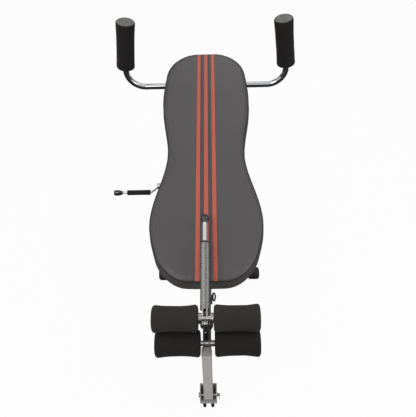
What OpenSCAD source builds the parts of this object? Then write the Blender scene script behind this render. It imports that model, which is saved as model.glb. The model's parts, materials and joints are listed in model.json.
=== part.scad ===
// Inversion table: a padded bed on a pivoting beam, a floor base hidden under it,
// a telescoping ankle unit with a long clamp lever, and a foot post with a swivel foot.
// The origin is on the floor, under the middle of the machine. The head end is at +Y.

/* [Bed] */
// Slope of the bed at rest, head end up, in degrees
rest_incline = 19.5; // [17:0.5:21]
// Length of the padded bed
pad_len = 1226; // [1200:2:1250]
// Thickness of the foam and its cover
foam_t = 60; // [45:1:75]
// Thickness of the board under the foam
board_t = 12; // [9:1:15]
// Distance from the foam's edge in to the board's edge
board_inset = 2; // [1:0.5:6]
// Width of the bed where its foot edge starts to curve
foot_edge_w = 372; // [350:2:390]
// Width of the bed at the hips
hip_w = 466; // [440:2:480]
// Width of the bed at the waist
waist_w = 343; // [330:1:360]
// Width of the bed at the shoulders
shoulder_w = 410; // [390:2:430]
// Width of the bed where its head edge starts to curve
head_edge_w = 366; // [350:2:380]
// Distance from the foot edge to the hips
hip_at = 250; // [220:5:280]
// Distance from the foot edge to the waist
waist_at = 600; // [570:5:630]
// Distance from the foot edge to the shoulders
shoulder_at = 915; // [885:5:945]
// Corner radius of the foot end
foot_corner_r = 112; // [90:2:120]
// Corner radius of the head end
head_corner_r = 145; // [120:5:155]
// Distance from the foot edge to the tilt pivot
pivot_from_foot = 650; // [635:5:665]

/* [Tubes] */
// Width of the square main beam
beam_w = 35; // [33:1:37]
// Wall of the main beam
beam_wall = 2.2; // [1.5:0.1:3]
// Wall of the other tubes
tube_wall = 2; // [1.5:0.1:2.5]
// Running gap between the beam and the sliding boom
slide_gap = 0.3; // [0.2:0.05:0.5]
// How far the beam's mouth stands out past the foot edge
beam_mouth = 50; // [40:1:56]
// Thickness of the plastic collar round the beam's mouth
collar_t = 3; // [2:0.5:4]
// Length of the boom
boom_len = 575; // [540:5:620]
// Height of the beam's centre above the tilt pivot
beam_over_pivot = 5; // [4:0.5:6]

/* [Base] */
// Height of the tilt pivot above the floor
pivot_h = 580; // [565:5:620]
// Diameter of the floor tubes
floor_tube_d = 50; // [46:1:54]
// Diameter of the rubber end caps
cap_d = 60; // [57:1:64]
// Height of the floor tubes' centre lines
floor_tube_h = 27; // [26.5:0.5:28]
// Distance from the pivot forward to the front floor tube
front_tube_reach = 219; // [200:5:235]
// Distance from the pivot back to the rear floor tube
rear_tube_reach = 480; // [440:5:495]
// Width across the front end caps
front_span = 496; // [476:4:520]
// Width across the rear end caps
rear_span = 508; // [492:4:540]
// Distance from the middle to the centre of each side frame
side_x = 153; // [148:1:158]
// Width of the side frames' tubes
side_tube_w = 24; // [20:1:26]
// Depth of the side frames' tubes
side_tube_d = 36; // [32:1:40]
// Distance from the pivot back to the foot of each rear strut
rear_strut_reach = 180; // [150:5:195]
// Thickness of the pivot plates
pivot_plate_t = 4; // [3:0.5:5]
// Radius of the pivot shaft
shaft_r = 10; // [9:0.5:10.5]
// Radial running gap of every turning joint
turn_gap = 0.05; // [0.02:0.01:0.08]
// Radial gap of a fixed pin in its hole
seat_gap = 0.02; // [0.01:0.01:0.03]

/* [Tilt brake] */
// Distance from the pivot forward to the lever's shaft
brake_shaft_reach = 147; // [142:1:152]
// Distance from the pivot down to the lever's shaft
brake_shaft_drop = 58; // [54:1:62]
// Radius of the brake sector
sector_r = 128; // [122:1:130]
// Thickness of the brake sector
sector_t = 6; // [5:0.5:7]
// Radius of the lever's shaft
brake_shaft_r = 6; // [5:0.5:7]
// Length of the boss that the lever's shaft turns in
brake_boss_len = 59; // [50:1:64]
// Crank between the shaft and the grip
crank_reach = 44; // [38:1:50]
// Diameter of the lever's foam grip
brake_grip_d = 22.5; // [20:0.5:26]
// Length of the lever's foam grip
brake_grip_len = 105; // [90:5:115]
// Distance from the middle to the outer end of the lever's knob
brake_knob_x = 404; // [390:2:410]

/* [Handles] */
// Diameter of the handle tube
handle_d = 28; // [25:1:30]
// Distance from the foot edge to the handle bar
handle_at = 1088; // [1075:1:1100]
// Half length of the handle bar's straight middle
handle_half = 302; // [295:1:325]
// Radius of the handle tube's bends
handle_bend_r = 90; // [75:5:100]
// Inward lean of the handle posts, in degrees
handle_in = 8; // [5:0.5:10]
// Lean of the handle posts towards the head end, in degrees
handle_back = 11; // [8:0.5:14]
// Length of each foam hand grip
hand_grip_len = 240; // [220:5:250]
// Diameter of the hand grips at their ends
hand_grip_d = 88; // [80:1:92]
// Diameter of the hand grips at their middle
hand_grip_waist_d = 80; // [72:1:82]

/* [Saddles and height pin] */
// Distance from the foot edge to the front saddle
front_saddle_at = 200; // [180:5:220]
// Distance from the foot edge to the rear saddle
rear_saddle_at = 950; // [900:5:1000]
// Distance from the middle to each board bolt
board_bolt_x = 50; // [40:1:58]
// Distance of the board bolts from the middle of their saddle
board_bolt_y = 10; // [8:1:12]
// Distance from the foot edge out to the height pin
pin_reach = 30; // [25:1:31]
// Length of the height pin's pull ring
loop_len = 54; // [48:1:56]
// Width of the height pin's pull ring
loop_w = 14.2; // [13.5:0.1:16]

/* [Ankle unit] */
// Distance from the foot edge out to the rear roller axle
rear_axle_reach = 226; // [222:1:232]
// Height of the rear roller axle above the boom's centre
rear_axle_up = 67.5; // [66:0.5:70]
// Distance from the foot edge out to the front roller axle
front_axle_reach = 161; // [158:1:163]
// Height of the front roller axle above the boom's centre
front_axle_up = 145.5; // [144.5:0.5:148]
// Radius of the roller axles
axle_r = 9.5; // [8.5:0.5:10]
// Diameter of the foam rollers
roller_d = 95; // [88:1:97]
// Length of each foam roller
roller_len = 160; // [150:2:166]
// Gap from the middle to each front roller
front_roller_gap = 27; // [26:0.5:30]
// Gap from the middle to the left rear roller
rear_gap_left = 21; // [20.5:0.5:23]
// Gap from the middle to the right rear roller
rear_gap_right = 29; // [27:0.5:32]
// Distance from the foot edge out to the arms' pivot
arm_pivot_reach = 150; // [148:1:151]
// Height of the arms' pivot above the boom's centre
arm_pivot_up = 32; // [31:0.5:33]
// Thickness of the ankle unit's plates
link_plate_t = 4; // [3:0.5:4]
// Distance from the foot edge out to the tie link's pin
tie_pin_reach = 177; // [176:1:178]
// Height of the tie link's pin above the boom's centre
tie_pin_up = 31; // [30:0.5:32]
// Distance from the front axle to the lever's tie pin
lever_short_arm = 19.5; // [19:0.5:21]

/* [Clamp lever] */
// Sideways offset of the lever from the middle
lever_x = -4; // [-5:0.5:-3]
// Height of the lever's centre above the front axle
lever_up = 9; // [6:1:11]
// Diameter of the lever's tube
lever_d = 32; // [30:1:34]
// Gap from the front axle to the lever's tube
lever_start = 27; // [24:1:30]
// Length of the lever's tube
lever_len = 256; // [240:1:270]
// Length of the dark collar at the tube's end
lever_collar_len = 7; // [5:0.5:9]
// Diameter of the lever's sliding rod
lever_rod_d = 16; // [14:1:18]
// Distance from the tube's end to the ball's centre
ball_reach = 110; // [102:1:118]
// Diameter of the ball knob
ball_d = 33; // [28:1:38]

/* [Foot post] */
// Width of the square foot post
post_w = 35; // [33:1:36]
// Corner radius of the foot post
post_corner_r = 4; // [2:0.5:6]
// Gap from the rear roller axle to the post's back face
post_gap = 11; // [10.5:0.5:13]
// Drop from the rear roller axle to the top of the post's cap
post_drop = 5.6; // [4:0.2:8]
// Width of the foot bracket
foot_w = 65; // [60:1:72]
// Height of the foot bracket's sides
foot_side_h = 58; // [50:1:64]
// Thickness of the foot bracket's sides
foot_side_t = 3; // [2.5:0.5:4]
// Thickness of the foot bracket's sole
sole_t = 6; // [5:0.5:8]
// Height of the rubber foot pads
foot_pad_h = 34; // [28:1:38]
// Radius of the foot bolt
foot_bolt_r = 5; // [4:0.5:6]

/* [Hidden] */
$fn = 64;

steel_grey = [0.42, 0.42, 0.43];
light_grey = [0.64, 0.62, 0.61];
chrome_grey = [0.75, 0.75, 0.77];
black = [0.1, 0.1, 0.1];
foam_black = [0.17, 0.17, 0.16];

// A cut goes this far past the face it opens
past = 1;
// Large enough to cut away a whole side of the machine
huge = 3000;

// ---- Places in the bed's own frame: y from the pivot, z from the beam's centre
pad_foot_y = -pivot_from_foot;
pad_head_y = pad_len - pivot_from_foot;
board_z = beam_w / 2;
foam_z = board_z + board_t;
handle_y = handle_at - pivot_from_foot;
mouth_y = pad_foot_y - beam_mouth;
shaft_z = -beam_over_pivot;

rear_axle_y = pad_foot_y - rear_axle_reach;
front_axle_y = pad_foot_y - front_axle_reach;
arm_pivot_y = pad_foot_y - arm_pivot_reach;
tie_pin_y = pad_foot_y - tie_pin_reach;

// ---- From the bed's frame to the row's, both measured from the pivot
function level_y(y, z) = y * cos(rest_incline) - (z + beam_over_pivot) * sin(rest_incline);
function level_z(y, z) = y * sin(rest_incline) + (z + beam_over_pivot) * cos(rest_incline);

post_back = level_y(rear_axle_y, rear_axle_up) - post_gap;
post_front = post_back - post_w;
post_top = pivot_h + level_z(rear_axle_y, rear_axle_up) - post_drop;

// The foot bracket stands a little proud of the post, and the part's origin is
// half way between its front edge and the head edge of the pad
foot_margin = 5;
foot_front = post_front - foot_margin;
head_back = level_y(pad_head_y, foam_z);
pivot_y = -(foot_front + head_back) / 2;

module on_bed() {
    translate([0, pivot_y, pivot_h]) rotate([rest_incline, 0, 0])
        translate([0, 0, beam_over_pivot]) children();
}
module on_floor() {
    translate([0, pivot_y, 0]) children();
}
module on_pivot() {
    translate([0, pivot_y, pivot_h]) children();
}

// ---- Shapes that repeat
// A round bar along X between two places
module bar_x(r, x0, x1, y = 0, z = 0) {
    translate([x0, y, z]) rotate([0, 90, 0]) cylinder(r = r, h = x1 - x0);
}
// A ring along X
module ring_x(r, hole_r, x0, x1, y = 0, z = 0) {
    difference() {
        bar_x(r, x0, x1, y, z);
        bar_x(hole_r, x0 - past, x1 + past, y, z);
    }
}
// A (y, z) outline made into a plate that starts at x
module plate_x(x, t) {
    translate([x, 0, 0]) rotate([90, 0, 90]) linear_extrude(t) children();
}
// A square bar along Y, centred on its line
module square_bar(w, y0, y1) {
    translate([-w / 2, y0, -w / 2]) cube([w, y1 - y0, w]);
}
module mirrored_pair() {
    children();
    mirror([1, 0, 0]) children();
}
module rounded_square(w, r) {
    square([w - 2 * r, w], center = true);
    square([w, w - 2 * r], center = true);
    for (sx = [-1, 1], sy = [-1, 1])
        translate([sx, sy] * (w / 2 - r)) circle(r);
}

// ---- Floor base
cap_len = 50;
cap_nose = 8;
cap_nose_r = cap_d / 2 - 7;
cap_wall = 6;
rail_w = side_tube_w;
rail_d = 40;

module floor_tube(y, span) {
    on_floor() difference() {
        bar_x(floor_tube_d / 2, -span / 2 + cap_wall, span / 2 - cap_wall, y, floor_tube_h);
        bar_x(floor_tube_d / 2 - tube_wall, -span, span, y, floor_tube_h);
    }
}
module front_floor_tube() {
    color(steel_grey) floor_tube(-front_tube_reach, front_span);
}
module rear_floor_tube() {
    color(steel_grey) floor_tube(rear_tube_reach, rear_span);
}

// A rubber cap on a tube's end, with a flat to stand on
module floor_cap(y, span) {
    difference() {
        union() {
            bar_x(cap_d / 2, span / 2 - cap_len, span / 2 - cap_nose, y, floor_tube_h);
            translate([span / 2 - cap_nose, y, floor_tube_h]) rotate([0, 90, 0])
                cylinder(r1 = cap_d / 2, r2 = cap_nose_r, h = cap_nose);
        }
        bar_x(floor_tube_d / 2 + seat_gap, 0, span / 2 - cap_wall, y, floor_tube_h);
        translate([0, y - cap_d, -cap_d]) cube([span, 2 * cap_d, cap_d]);
    }
}
module floor_tube_caps() {
    color(black) on_floor() mirrored_pair() {
        floor_cap(-front_tube_reach, front_span);
        floor_cap(rear_tube_reach, rear_span);
    }
}

module floor_tube_cuts() {
    for (y = [-front_tube_reach, rear_tube_reach])
        bar_x(floor_tube_d / 2 + seat_gap, -rear_span, rear_span, y, floor_tube_h);
}
// A rail's ends are cut to the floor tubes that they are welded to
module rail() {
    on_floor() difference() {
        translate([side_x - rail_w / 2, -front_tube_reach, floor_tube_h - rail_d / 2])
            cube([rail_w, front_tube_reach + rear_tube_reach, rail_d]);
        translate([side_x - rail_w / 2 + tube_wall, -huge / 2, floor_tube_h - rail_d / 2 + tube_wall])
            cube([rail_w - 2 * tube_wall, huge, rail_d - 2 * tube_wall]);
        floor_tube_cuts();
    }
}
module left_rail() {
    color(steel_grey) mirror([1, 0, 0]) rail();
}
module right_rail() {
    color(steel_grey) rail();
}

// A strut runs from below the pivot to a place on the floor frame
strut_gap = 62;
rail_top = floor_tube_h + rail_d / 2;
module strut(reach, foot_h) {
    lean = atan2(reach, pivot_h - foot_h);
    strut_len = norm([reach, pivot_h - foot_h]) + side_tube_d;
    difference() {
        on_pivot() rotate([lean, 0, 0]) translate([side_x, 0, -strut_len]) difference() {
            translate([-side_tube_w / 2, -side_tube_d / 2, 0])
                cube([side_tube_w, side_tube_d, strut_len - strut_gap]);
            translate([-side_tube_w / 2 + tube_wall, -side_tube_d / 2 + tube_wall, -past])
                cube([side_tube_w - 2 * tube_wall, side_tube_d - 2 * tube_wall, strut_len]);
        }
        children();
    }
}
// The front strut stands on the front floor tube, and on the rail behind it
module front_strut() {
    strut(-front_tube_reach, floor_tube_h) on_floor() {
        floor_tube_cuts();
        translate([-huge / 2, -front_tube_reach, rail_top - huge]) cube([huge, huge, huge]);
        translate([-huge / 2, -front_tube_reach - huge, floor_tube_h - huge])
            cube([huge, 2 * huge, huge]);
    }
}
module rear_strut() {
    strut(rear_strut_reach, rail_top) translate([-huge / 2, -huge / 2, rail_top - huge])
        cube([huge, huge, huge]);
}
module left_front_strut() {
    color(steel_grey) mirror([1, 0, 0]) front_strut();
}
module right_front_strut() {
    color(steel_grey) front_strut();
}
module left_rear_strut() {
    color(steel_grey) mirror([1, 0, 0]) rear_strut();
}
module right_rear_strut() {
    color(steel_grey) rear_strut();
}

// ---- Tilt pivot
bush_r = shaft_r + 4.5;
plate_top_r = shaft_r + 10;
plate_foot = 125;
plate_foot_half = 70;
plate_in_x = side_x - side_tube_w / 2 - pivot_plate_t;
plate_out_x = side_x + side_tube_w / 2;
bush_end_x = plate_out_x + pivot_plate_t;

module pivot_plate_outline() {
    difference() {
        union() {
            circle(plate_top_r);
            polygon([[-plate_top_r, 0], [-plate_foot_half, -plate_foot],
                     [plate_foot_half, -plate_foot], [plate_top_r, 0]]);
        }
        circle(bush_r + seat_gap);
    }
}
module pivot_plates() {
    color(steel_grey) on_pivot() mirrored_pair() {
        plate_x(plate_in_x, pivot_plate_t) pivot_plate_outline();
        plate_x(plate_out_x, pivot_plate_t) pivot_plate_outline();
    }
}
module pivot_bushes() {
    color(black) on_pivot() mirrored_pair()
        ring_x(bush_r, shaft_r + turn_gap, plate_in_x, bush_end_x);
}

// The shaft's heads keep it between the pivot plates
shaft_head_r = 15;
shaft_head_t = 5;
end_gap = 0.5;
module pivot_shaft() {
    color(chrome_grey) on_pivot() {
        bar_x(shaft_r, -bush_end_x - end_gap - shaft_head_t, bush_end_x + end_gap + shaft_head_t);
        mirrored_pair()
            bar_x(shaft_head_r, bush_end_x + end_gap, bush_end_x + end_gap + shaft_head_t);
        bar_x(shaft_head_r, plate_in_x - end_gap - shaft_head_t, plate_in_x - end_gap);
    }
}

// ---- Tilt brake: a sector on the shaft, and a shoe that a cam presses on its rim
brake_angle = 180 + atan2(brake_shaft_drop, brake_shaft_reach);
brake_shaft_dist = norm([brake_shaft_reach, brake_shaft_drop]);
bracket_t = 5;
bracket_x = -plate_in_x;
sector_x = bracket_x + bracket_t + end_gap + 4.5;
shoe_gap = 0.2;
shoe_w = 30;
cam_r = 12;
cam_offset = 4;
cam_turn = 45;
cam_reach = cam_r + cam_offset * cos(cam_turn);
shoe_in = sector_r + shoe_gap;
shoe_out = brake_shaft_dist - cam_reach - shoe_gap;
shoe_x = sector_x - 2;
shoe_t = sector_t + 4;
invert_travel = 80;
sector_margin = 12;
sector_hub_r = 21;

// A place in the brake's plane: along the line to the lever's shaft, and across it
module at_brake(along, across = 0) {
    rotate(brake_angle) translate([along, across]) children();
}
module brake_sector() {
    from = brake_angle - sector_margin;
    to = brake_angle + invert_travel + sector_margin;
    color(steel_grey) on_pivot() difference() {
        union() {
            intersection() {
                bar_x(sector_r, sector_x, sector_x + sector_t);
                plate_x(sector_x, sector_t) polygon(concat([[0, 0]],
                    [for (i = [0:2]) 2 * sector_r * [cos(from + (to - from) * i / 2),
                                                     sin(from + (to - from) * i / 2)]]));
            }
            bar_x(sector_hub_r, bracket_x + bracket_t + end_gap, sector_x + sector_t + 6);
        }
        bar_x(shaft_r + seat_gap, bracket_x, 0);
        for (i = [0:3]) rotate([from + (to - from) * (i + 0.5) / 4, 0, 0])
            bar_x(12, sector_x - past, sector_x + sector_t + past, sector_r * 0.68, 0);
    }
}
module brake_shoe() {
    color(black) on_pivot() difference() {
        plate_x(shoe_x, shoe_t) at_brake(sector_r - 2, -shoe_w / 2)
            square([shoe_out - sector_r + 2, shoe_w]);
        bar_x(shoe_in, shoe_x - past, shoe_x + shoe_t + past);
    }
}
boss_r = brake_shaft_r + 6;
boss_end_x = bracket_x - brake_boss_len;
cheek_w = 6;
module brake_bracket() {
    color(steel_grey) on_pivot() difference() {
        union() {
            plate_x(bracket_x, bracket_t) {
                circle(plate_top_r);
                rotate(brake_angle) translate([0, -plate_top_r])
                    square([brake_shaft_dist, 2 * plate_top_r]);
                at_brake(brake_shaft_dist) circle(plate_top_r);
            }
            rotate([brake_angle, 0, 0])
                bar_x(boss_r, boss_end_x, bracket_x + bracket_t, brake_shaft_dist, 0);
            for (side = [-1, 1])
                plate_x(bracket_x + bracket_t, shoe_t + 4)
                    at_brake(shoe_in + 1, side * (shoe_w / 2 + shoe_gap + cheek_w / 2) - cheek_w / 2)
                        square([shoe_out - shoe_in - 2, cheek_w]);
        }
        bar_x(shaft_r + 1, bracket_x - past, bracket_x + bracket_t + past);
        rotate([brake_angle, 0, 0])
            bar_x(brake_shaft_r + turn_gap, boss_end_x - past, 0, brake_shaft_dist, 0);
    }
}

// The lever's rod: shaft, cam, crank and the straight end that carries the grip
joint_x = boss_end_x - end_gap;
joint_t = 22;
grip_x = joint_x - joint_t - 22;
rod_r = 4;
module at_brake_shaft() {
    translate([0, -brake_shaft_reach, -brake_shaft_drop]) children();
}
module brake_lever_rod() {
    slant = [grip_x - joint_x + joint_t / 2, -crank_reach, 0];
    color(chrome_grey) on_pivot() at_brake_shaft() {
        bar_x(brake_shaft_r, joint_x, shoe_x + shoe_t + 1);
        rotate([brake_angle + 180 - cam_turn, 0, 0])
            bar_x(cam_r, shoe_x + 1, shoe_x + shoe_t - 1, cam_offset, 0);
        bar_x(boss_r, joint_x - joint_t, joint_x);
        translate([joint_x - joint_t / 2, 0, 0])
            rotate([0, 0, atan2(slant[1], slant[0])]) rotate([0, 90, 0])
                cylinder(r = rod_r, h = norm(slant));
        translate([grip_x, -crank_reach, 0]) sphere(rod_r);
        bar_x(rod_r, -brake_knob_x + 6, grip_x, -crank_reach, 0);
    }
}
module brake_lever_grip() {
    color(foam_black) on_pivot() at_brake_shaft()
        ring_x(brake_grip_d / 2, rod_r + seat_gap, grip_x - brake_grip_len, grip_x - rod_r, -crank_reach, 0);
}
knob_len = 39;
knob_r = 12;
module brake_lever_knob() {
    color(black) on_pivot() at_brake_shaft() translate([-brake_knob_x, -crank_reach, 0])
        rotate([0, 90, 0]) difference() {
            rotate_extrude() polygon([[0, 0], [knob_r - 4, 0], [knob_r, 4], [knob_r, knob_len - 10],
                                      [knob_r - 4, knob_len], [0, knob_len]]);
            translate([0, 0, 6]) cylinder(r = rod_r + seat_gap, h = knob_len);
        }
}

// ---- Main beam
pin_y = pad_foot_y - pin_reach;
pin_r = 4;
pin_boss_r = 9;
pin_boss_t = 3;
boom_w = beam_w - 2 * beam_wall - 2 * slide_gap;

module main_beam() {
    color(steel_grey) on_bed() difference() {
        union() {
            difference() {
                square_bar(beam_w, mouth_y, handle_y);
                square_bar(beam_w - 2 * beam_wall, mouth_y - past, handle_y + past);
            }
            bar_x(pin_boss_r, beam_w / 2, beam_w / 2 + pin_boss_t, pin_y, 0);
        }
        bar_x(handle_d / 2 + seat_gap, -beam_w, beam_w, handle_y, 0);
        bar_x(shaft_r + seat_gap, -beam_w, beam_w, 0, shaft_z);
        bar_x(pin_r + turn_gap, 0, beam_w, pin_y, 0);
    }
}
// The collar caps the beam's mouth, and the boom runs through it
module beam_collar() {
    collar_y = mouth_y - collar_t;
    color(black) on_bed() difference() {
        square_bar(beam_w + 2 * collar_t, collar_y, mouth_y + 10);
        square_bar(beam_w + 2 * seat_gap, mouth_y, mouth_y + 10 + past);
        square_bar(boom_w + 2 * slide_gap, collar_y - past, mouth_y + past);
    }
}
saddle_len = 40;
saddle_t = 3;
saddle_half = 70;
saddle_places = [front_saddle_at - pivot_from_foot, rear_saddle_at - pivot_from_foot];
module beam_saddles() {
    inside = beam_w / 2 + seat_gap;
    outside = inside + saddle_t;
    color(steel_grey) on_bed() for (y = saddle_places)
        translate([0, y + saddle_len / 2, 0]) rotate([90, 0, 0]) linear_extrude(saddle_len)
            polygon([[-saddle_half, board_z], [-saddle_half, board_z - saddle_t],
                     [-outside, board_z - saddle_t], [-outside, -outside], [outside, -outside],
                     [outside, board_z - saddle_t], [saddle_half, board_z - saddle_t],
                     [saddle_half, board_z], [inside, board_z], [inside, -inside],
                     [-inside, -inside], [-inside, board_z]]);
}
bolt_head_r = 7;
bolt_head_t = 5;
module board_bolts() {
    color(chrome_grey) on_bed() for (y = saddle_places, sx = [-1, 1], sy = [-1, 1])
        translate([sx * board_bolt_x, y + sy * board_bolt_y, board_z - saddle_t - bolt_head_t])
            cylinder(r = bolt_head_r, h = bolt_head_t, $fn = 6);
}

// ---- Bed
function ease(a, b, t) = a + (b - a) * (1 - cos(180 * t)) / 2;
function plain_w(s) =
    s < hip_at ? ease(foot_edge_w, hip_w, s / hip_at) :
    s < waist_at ? ease(hip_w, waist_w, (s - hip_at) / (waist_at - hip_at)) :
    s < shoulder_at ? ease(waist_w, shoulder_w, (s - waist_at) / (shoulder_at - waist_at)) :
    ease(shoulder_w, head_edge_w, (s - shoulder_at) / (pad_len - shoulder_at));
// What a round corner takes off the half width, at a distance from the end
function corner_cut(d, r) = d < r ? r - sqrt(r * r - (r - d) * (r - d)) : 0;
function bed_half(s, inset) = plain_w(s) / 2 - inset
    - corner_cut(s - inset, foot_corner_r - inset)
    - corner_cut(pad_len - inset - s, head_corner_r - inset);
corner_turns = [0:10:90];
side_step = 28;
function bed_stations(inset) = concat(
    [for (a = corner_turns) inset + (foot_corner_r - inset) * (1 - cos(a))],
    [for (s = [foot_corner_r + side_step:side_step:pad_len - head_corner_r - side_step / 2]) s],
    [for (a = corner_turns) pad_len - inset - (head_corner_r - inset) * (1 - cos(90 - a))]);
module bed_outline(inset) {
    stations = bed_stations(inset);
    last = len(stations) - 1;
    translate([0, pad_foot_y]) polygon(concat(
        [for (s = stations) [bed_half(s, inset), s]],
        [for (i = [0:last]) [-bed_half(stations[last - i], inset), stations[last - i]]]));
}
module seat_board() {
    color([0.2, 0.19, 0.18]) on_bed() translate([0, 0, board_z])
        linear_extrude(board_t) bed_outline(board_inset);
}
module seat_pad() {
    color([0.34, 0.33, 0.33]) on_bed() translate([0, 0, foam_z])
        linear_extrude(foam_t) bed_outline(0);
}

// ---- Handles: one bent tube under the head end, with foam grips
handle_r = handle_d / 2;
bend_turn = 90 + handle_in;
post_from = 6;
foam_gap = 0.3;
grip_lid = 10;
plug_head = 1;
post_rise = post_from + hand_grip_len - grip_lid - plug_head - foam_gap;

module in_handle_plane() {
    on_bed() translate([0, handle_y, 0]) rotate([-handle_back, 0, 0]) children();
}
// The start of the right post, at the end of its bend
module at_handle_post() {
    translate([handle_half + handle_bend_r * cos(handle_in), 0,
               handle_bend_r * (1 + sin(handle_in))])
        rotate([0, -handle_in, 0]) children();
}
module handle_bar() {
    color(chrome_grey) in_handle_plane() {
        ring_x(handle_r, handle_r - tube_wall, -handle_half, handle_half);
        mirrored_pair() {
            translate([handle_half, 0, handle_bend_r]) rotate([90, 0, 0]) rotate([0, 0, -90])
                rotate_extrude(angle = bend_turn) translate([handle_bend_r, 0]) difference() {
                    circle(handle_r);
                    circle(handle_r - tube_wall);
                }
            at_handle_post() difference() {
                cylinder(r = handle_r, h = post_rise);
                translate([0, 0, -past]) cylinder(r = handle_r - tube_wall, h = post_rise + 2 * past);
            }
        }
    }
}
grip_edge_r = 6;
grip_steps = 12;
function grip_r(t) = (hand_grip_waist_d + (hand_grip_d - hand_grip_waist_d) * pow(2 * t - 1, 2)) / 2;
// The foam closes over the end of the tube
module hand_grip() {
    in_handle_plane() at_handle_post() translate([0, 0, post_from]) rotate_extrude() polygon(concat(
        [[handle_r + foam_gap, 0], [hand_grip_d / 2 - grip_edge_r, 0]],
        [for (i = [0:grip_steps]) [grip_r(i / grip_steps),
            grip_edge_r + (hand_grip_len - 2 * grip_edge_r) * i / grip_steps]],
        [[hand_grip_d / 2 - grip_edge_r, hand_grip_len], [0, hand_grip_len],
         [0, hand_grip_len - grip_lid], [handle_r + foam_gap, hand_grip_len - grip_lid]]));
}
module left_hand_grip() {
    color(foam_black) mirror([1, 0, 0]) hand_grip();
}
module right_hand_grip() {
    color(foam_black) hand_grip();
}
module handle_plugs() {
    color(black) in_handle_plane() mirrored_pair() at_handle_post()
        translate([0, 0, post_rise - 12])
            cylinder(r = handle_r - tube_wall - seat_gap, h = 12 + plug_head);
}
clamp_w = 30;
clamp_from = 45;
clamp_half = 32;
module handle_clamps() {
    color(steel_grey) on_bed() mirrored_pair() difference() {
        union() {
            bar_x(board_z, clamp_from, clamp_from + clamp_w, handle_y, 0);
            translate([clamp_from, handle_y - clamp_half, board_z - saddle_t])
                cube([clamp_w, 2 * clamp_half, saddle_t]);
        }
        bar_x(handle_r + seat_gap, 0, 2 * clamp_from + clamp_w, handle_y, 0);
    }
}

// ---- Height pin: a spring pin with a loop to pull
pin_tip_gap = 0.3;
loop_x = beam_w / 2 + pin_boss_t + 0.3;
loop_t = 7;
loop_flat = 3.6;
loop_arc = 4.2;
loop_corner_r = 4;
module pull_pin() {
    color(chrome_grey) on_bed()
        bar_x(pin_r, boom_w / 2 + pin_tip_gap, loop_x, pin_y, 0);
}
// A D shape: flat on x = 0, bowed out to x = w, with round corners
module d_shape(big_r, w, corner_r) {
    centre_x = w - big_r;
    corner_y = sqrt(pow(big_r - corner_r, 2) - pow(corner_r - centre_x, 2));
    far = [centre_x + 2 * (corner_r - centre_x), 2 * corner_y];
    intersection() {
        translate([centre_x, 0]) circle(big_r);
        polygon([[0, -corner_y], [corner_r, -corner_y], [far[0], -far[1]],
                 [far[0], far[1]], [corner_r, corner_y], [0, corner_y]]);
    }
    for (s = [-1, 1]) translate([corner_r, s * corner_y]) circle(corner_r);
}
module pull_pin_loop() {
    bow_r = (loop_len * loop_len / 4 + loop_w * loop_w) / (2 * loop_w);
    color(black) on_bed() translate([loop_x, pin_y, -loop_t / 2])
        linear_extrude(loop_t) difference() {
            d_shape(bow_r, loop_w, loop_corner_r);
            translate([loop_flat, 0])
                d_shape(bow_r - loop_arc, loop_w - loop_flat - loop_arc, loop_corner_r / 2);
        }
}

// ---- Boom and ankle unit
hole_pitch = 25;
module post_space() {
    on_floor() translate([-post_w, post_front - huge, -huge / 2])
        cube([2 * post_w, huge + post_w, huge]);
}
module boom_tube() {
    inner_y = rear_axle_y + boom_len;
    color(steel_grey) difference() {
        on_bed() difference() {
            square_bar(boom_w, rear_axle_y - 2 * post_w, inner_y);
            square_bar(boom_w - 2 * tube_wall, rear_axle_y - 3 * post_w, inner_y + past);
            for (i = [-2:7]) bar_x(pin_r + 0.2, 0, beam_w, pin_y + i * hole_pitch, 0);
        }
        post_space();
    }
}

bracket_in = 7;
bracket_out = bracket_in + link_plate_t;
arm_in = bracket_out + 4.5;
arm_out = arm_in + link_plate_t;
boom_top = boom_w / 2;
tie_pin_r = 4;
axle_lobe_r = axle_r + 4.5;
arm_bolt_r = 6;

// Two plates on the boom hold the rear axle, the arms' pivot and the tie link's pin
module ankle_plate() {
    plate_x(bracket_in, link_plate_t) difference() {
        union() {
            polygon([[arm_pivot_y + 26, boom_top], [rear_axle_y - 40, boom_top],
                     [rear_axle_y - axle_lobe_r, rear_axle_up], [rear_axle_y, rear_axle_up + axle_lobe_r],
                     [tie_pin_y - 12, tie_pin_up + 22], [arm_pivot_y + 6, arm_pivot_up + 13]]);
            translate([rear_axle_y, rear_axle_up]) circle(axle_lobe_r);
            translate([arm_pivot_y, arm_pivot_up]) circle(14);
        }
        translate([rear_axle_y, rear_axle_up]) circle(axle_r + seat_gap);
        translate([arm_pivot_y, arm_pivot_up]) circle(arm_bolt_r + seat_gap);
        translate([tie_pin_y, tie_pin_up]) circle(tie_pin_r + seat_gap);
    }
}
module ankle_bracket() {
    color(steel_grey) difference() {
        on_bed() mirrored_pair() ankle_plate();
        intersection() {
            post_space();
            translate([0, 0, post_top - huge]) cube([huge, 3 * huge, 2 * huge], center = true);
        }
    }
    color(chrome_grey) on_bed() bar_x(tie_pin_r, -bracket_out - 1, bracket_out + 1, tie_pin_y, tie_pin_up);
}
axle_cap_r = axle_r + 4;
axle_cap_t = 3;
axle_spacer_r = axle_r + 1.4;
recess = 12;
function roller_end(gap) = gap + roller_len - recess;
module axle(y, z, left_end, right_end) {
    on_bed() {
        bar_x(axle_r, -left_end, right_end, y, z);
        bar_x(axle_cap_r, right_end, right_end + axle_cap_t, y, z);
        bar_x(axle_cap_r, -left_end - axle_cap_t, -left_end, y, z);
    }
}
module rear_axle() {
    color(chrome_grey) axle(rear_axle_y, rear_axle_up, roller_end(rear_gap_left), roller_end(rear_gap_right));
}
module rear_axle_spacer() {
    color(light_grey) on_bed()
        ring_x(axle_spacer_r, axle_r + seat_gap, bracket_out, rear_gap_right - end_gap, rear_axle_y, rear_axle_up);
}
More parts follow.
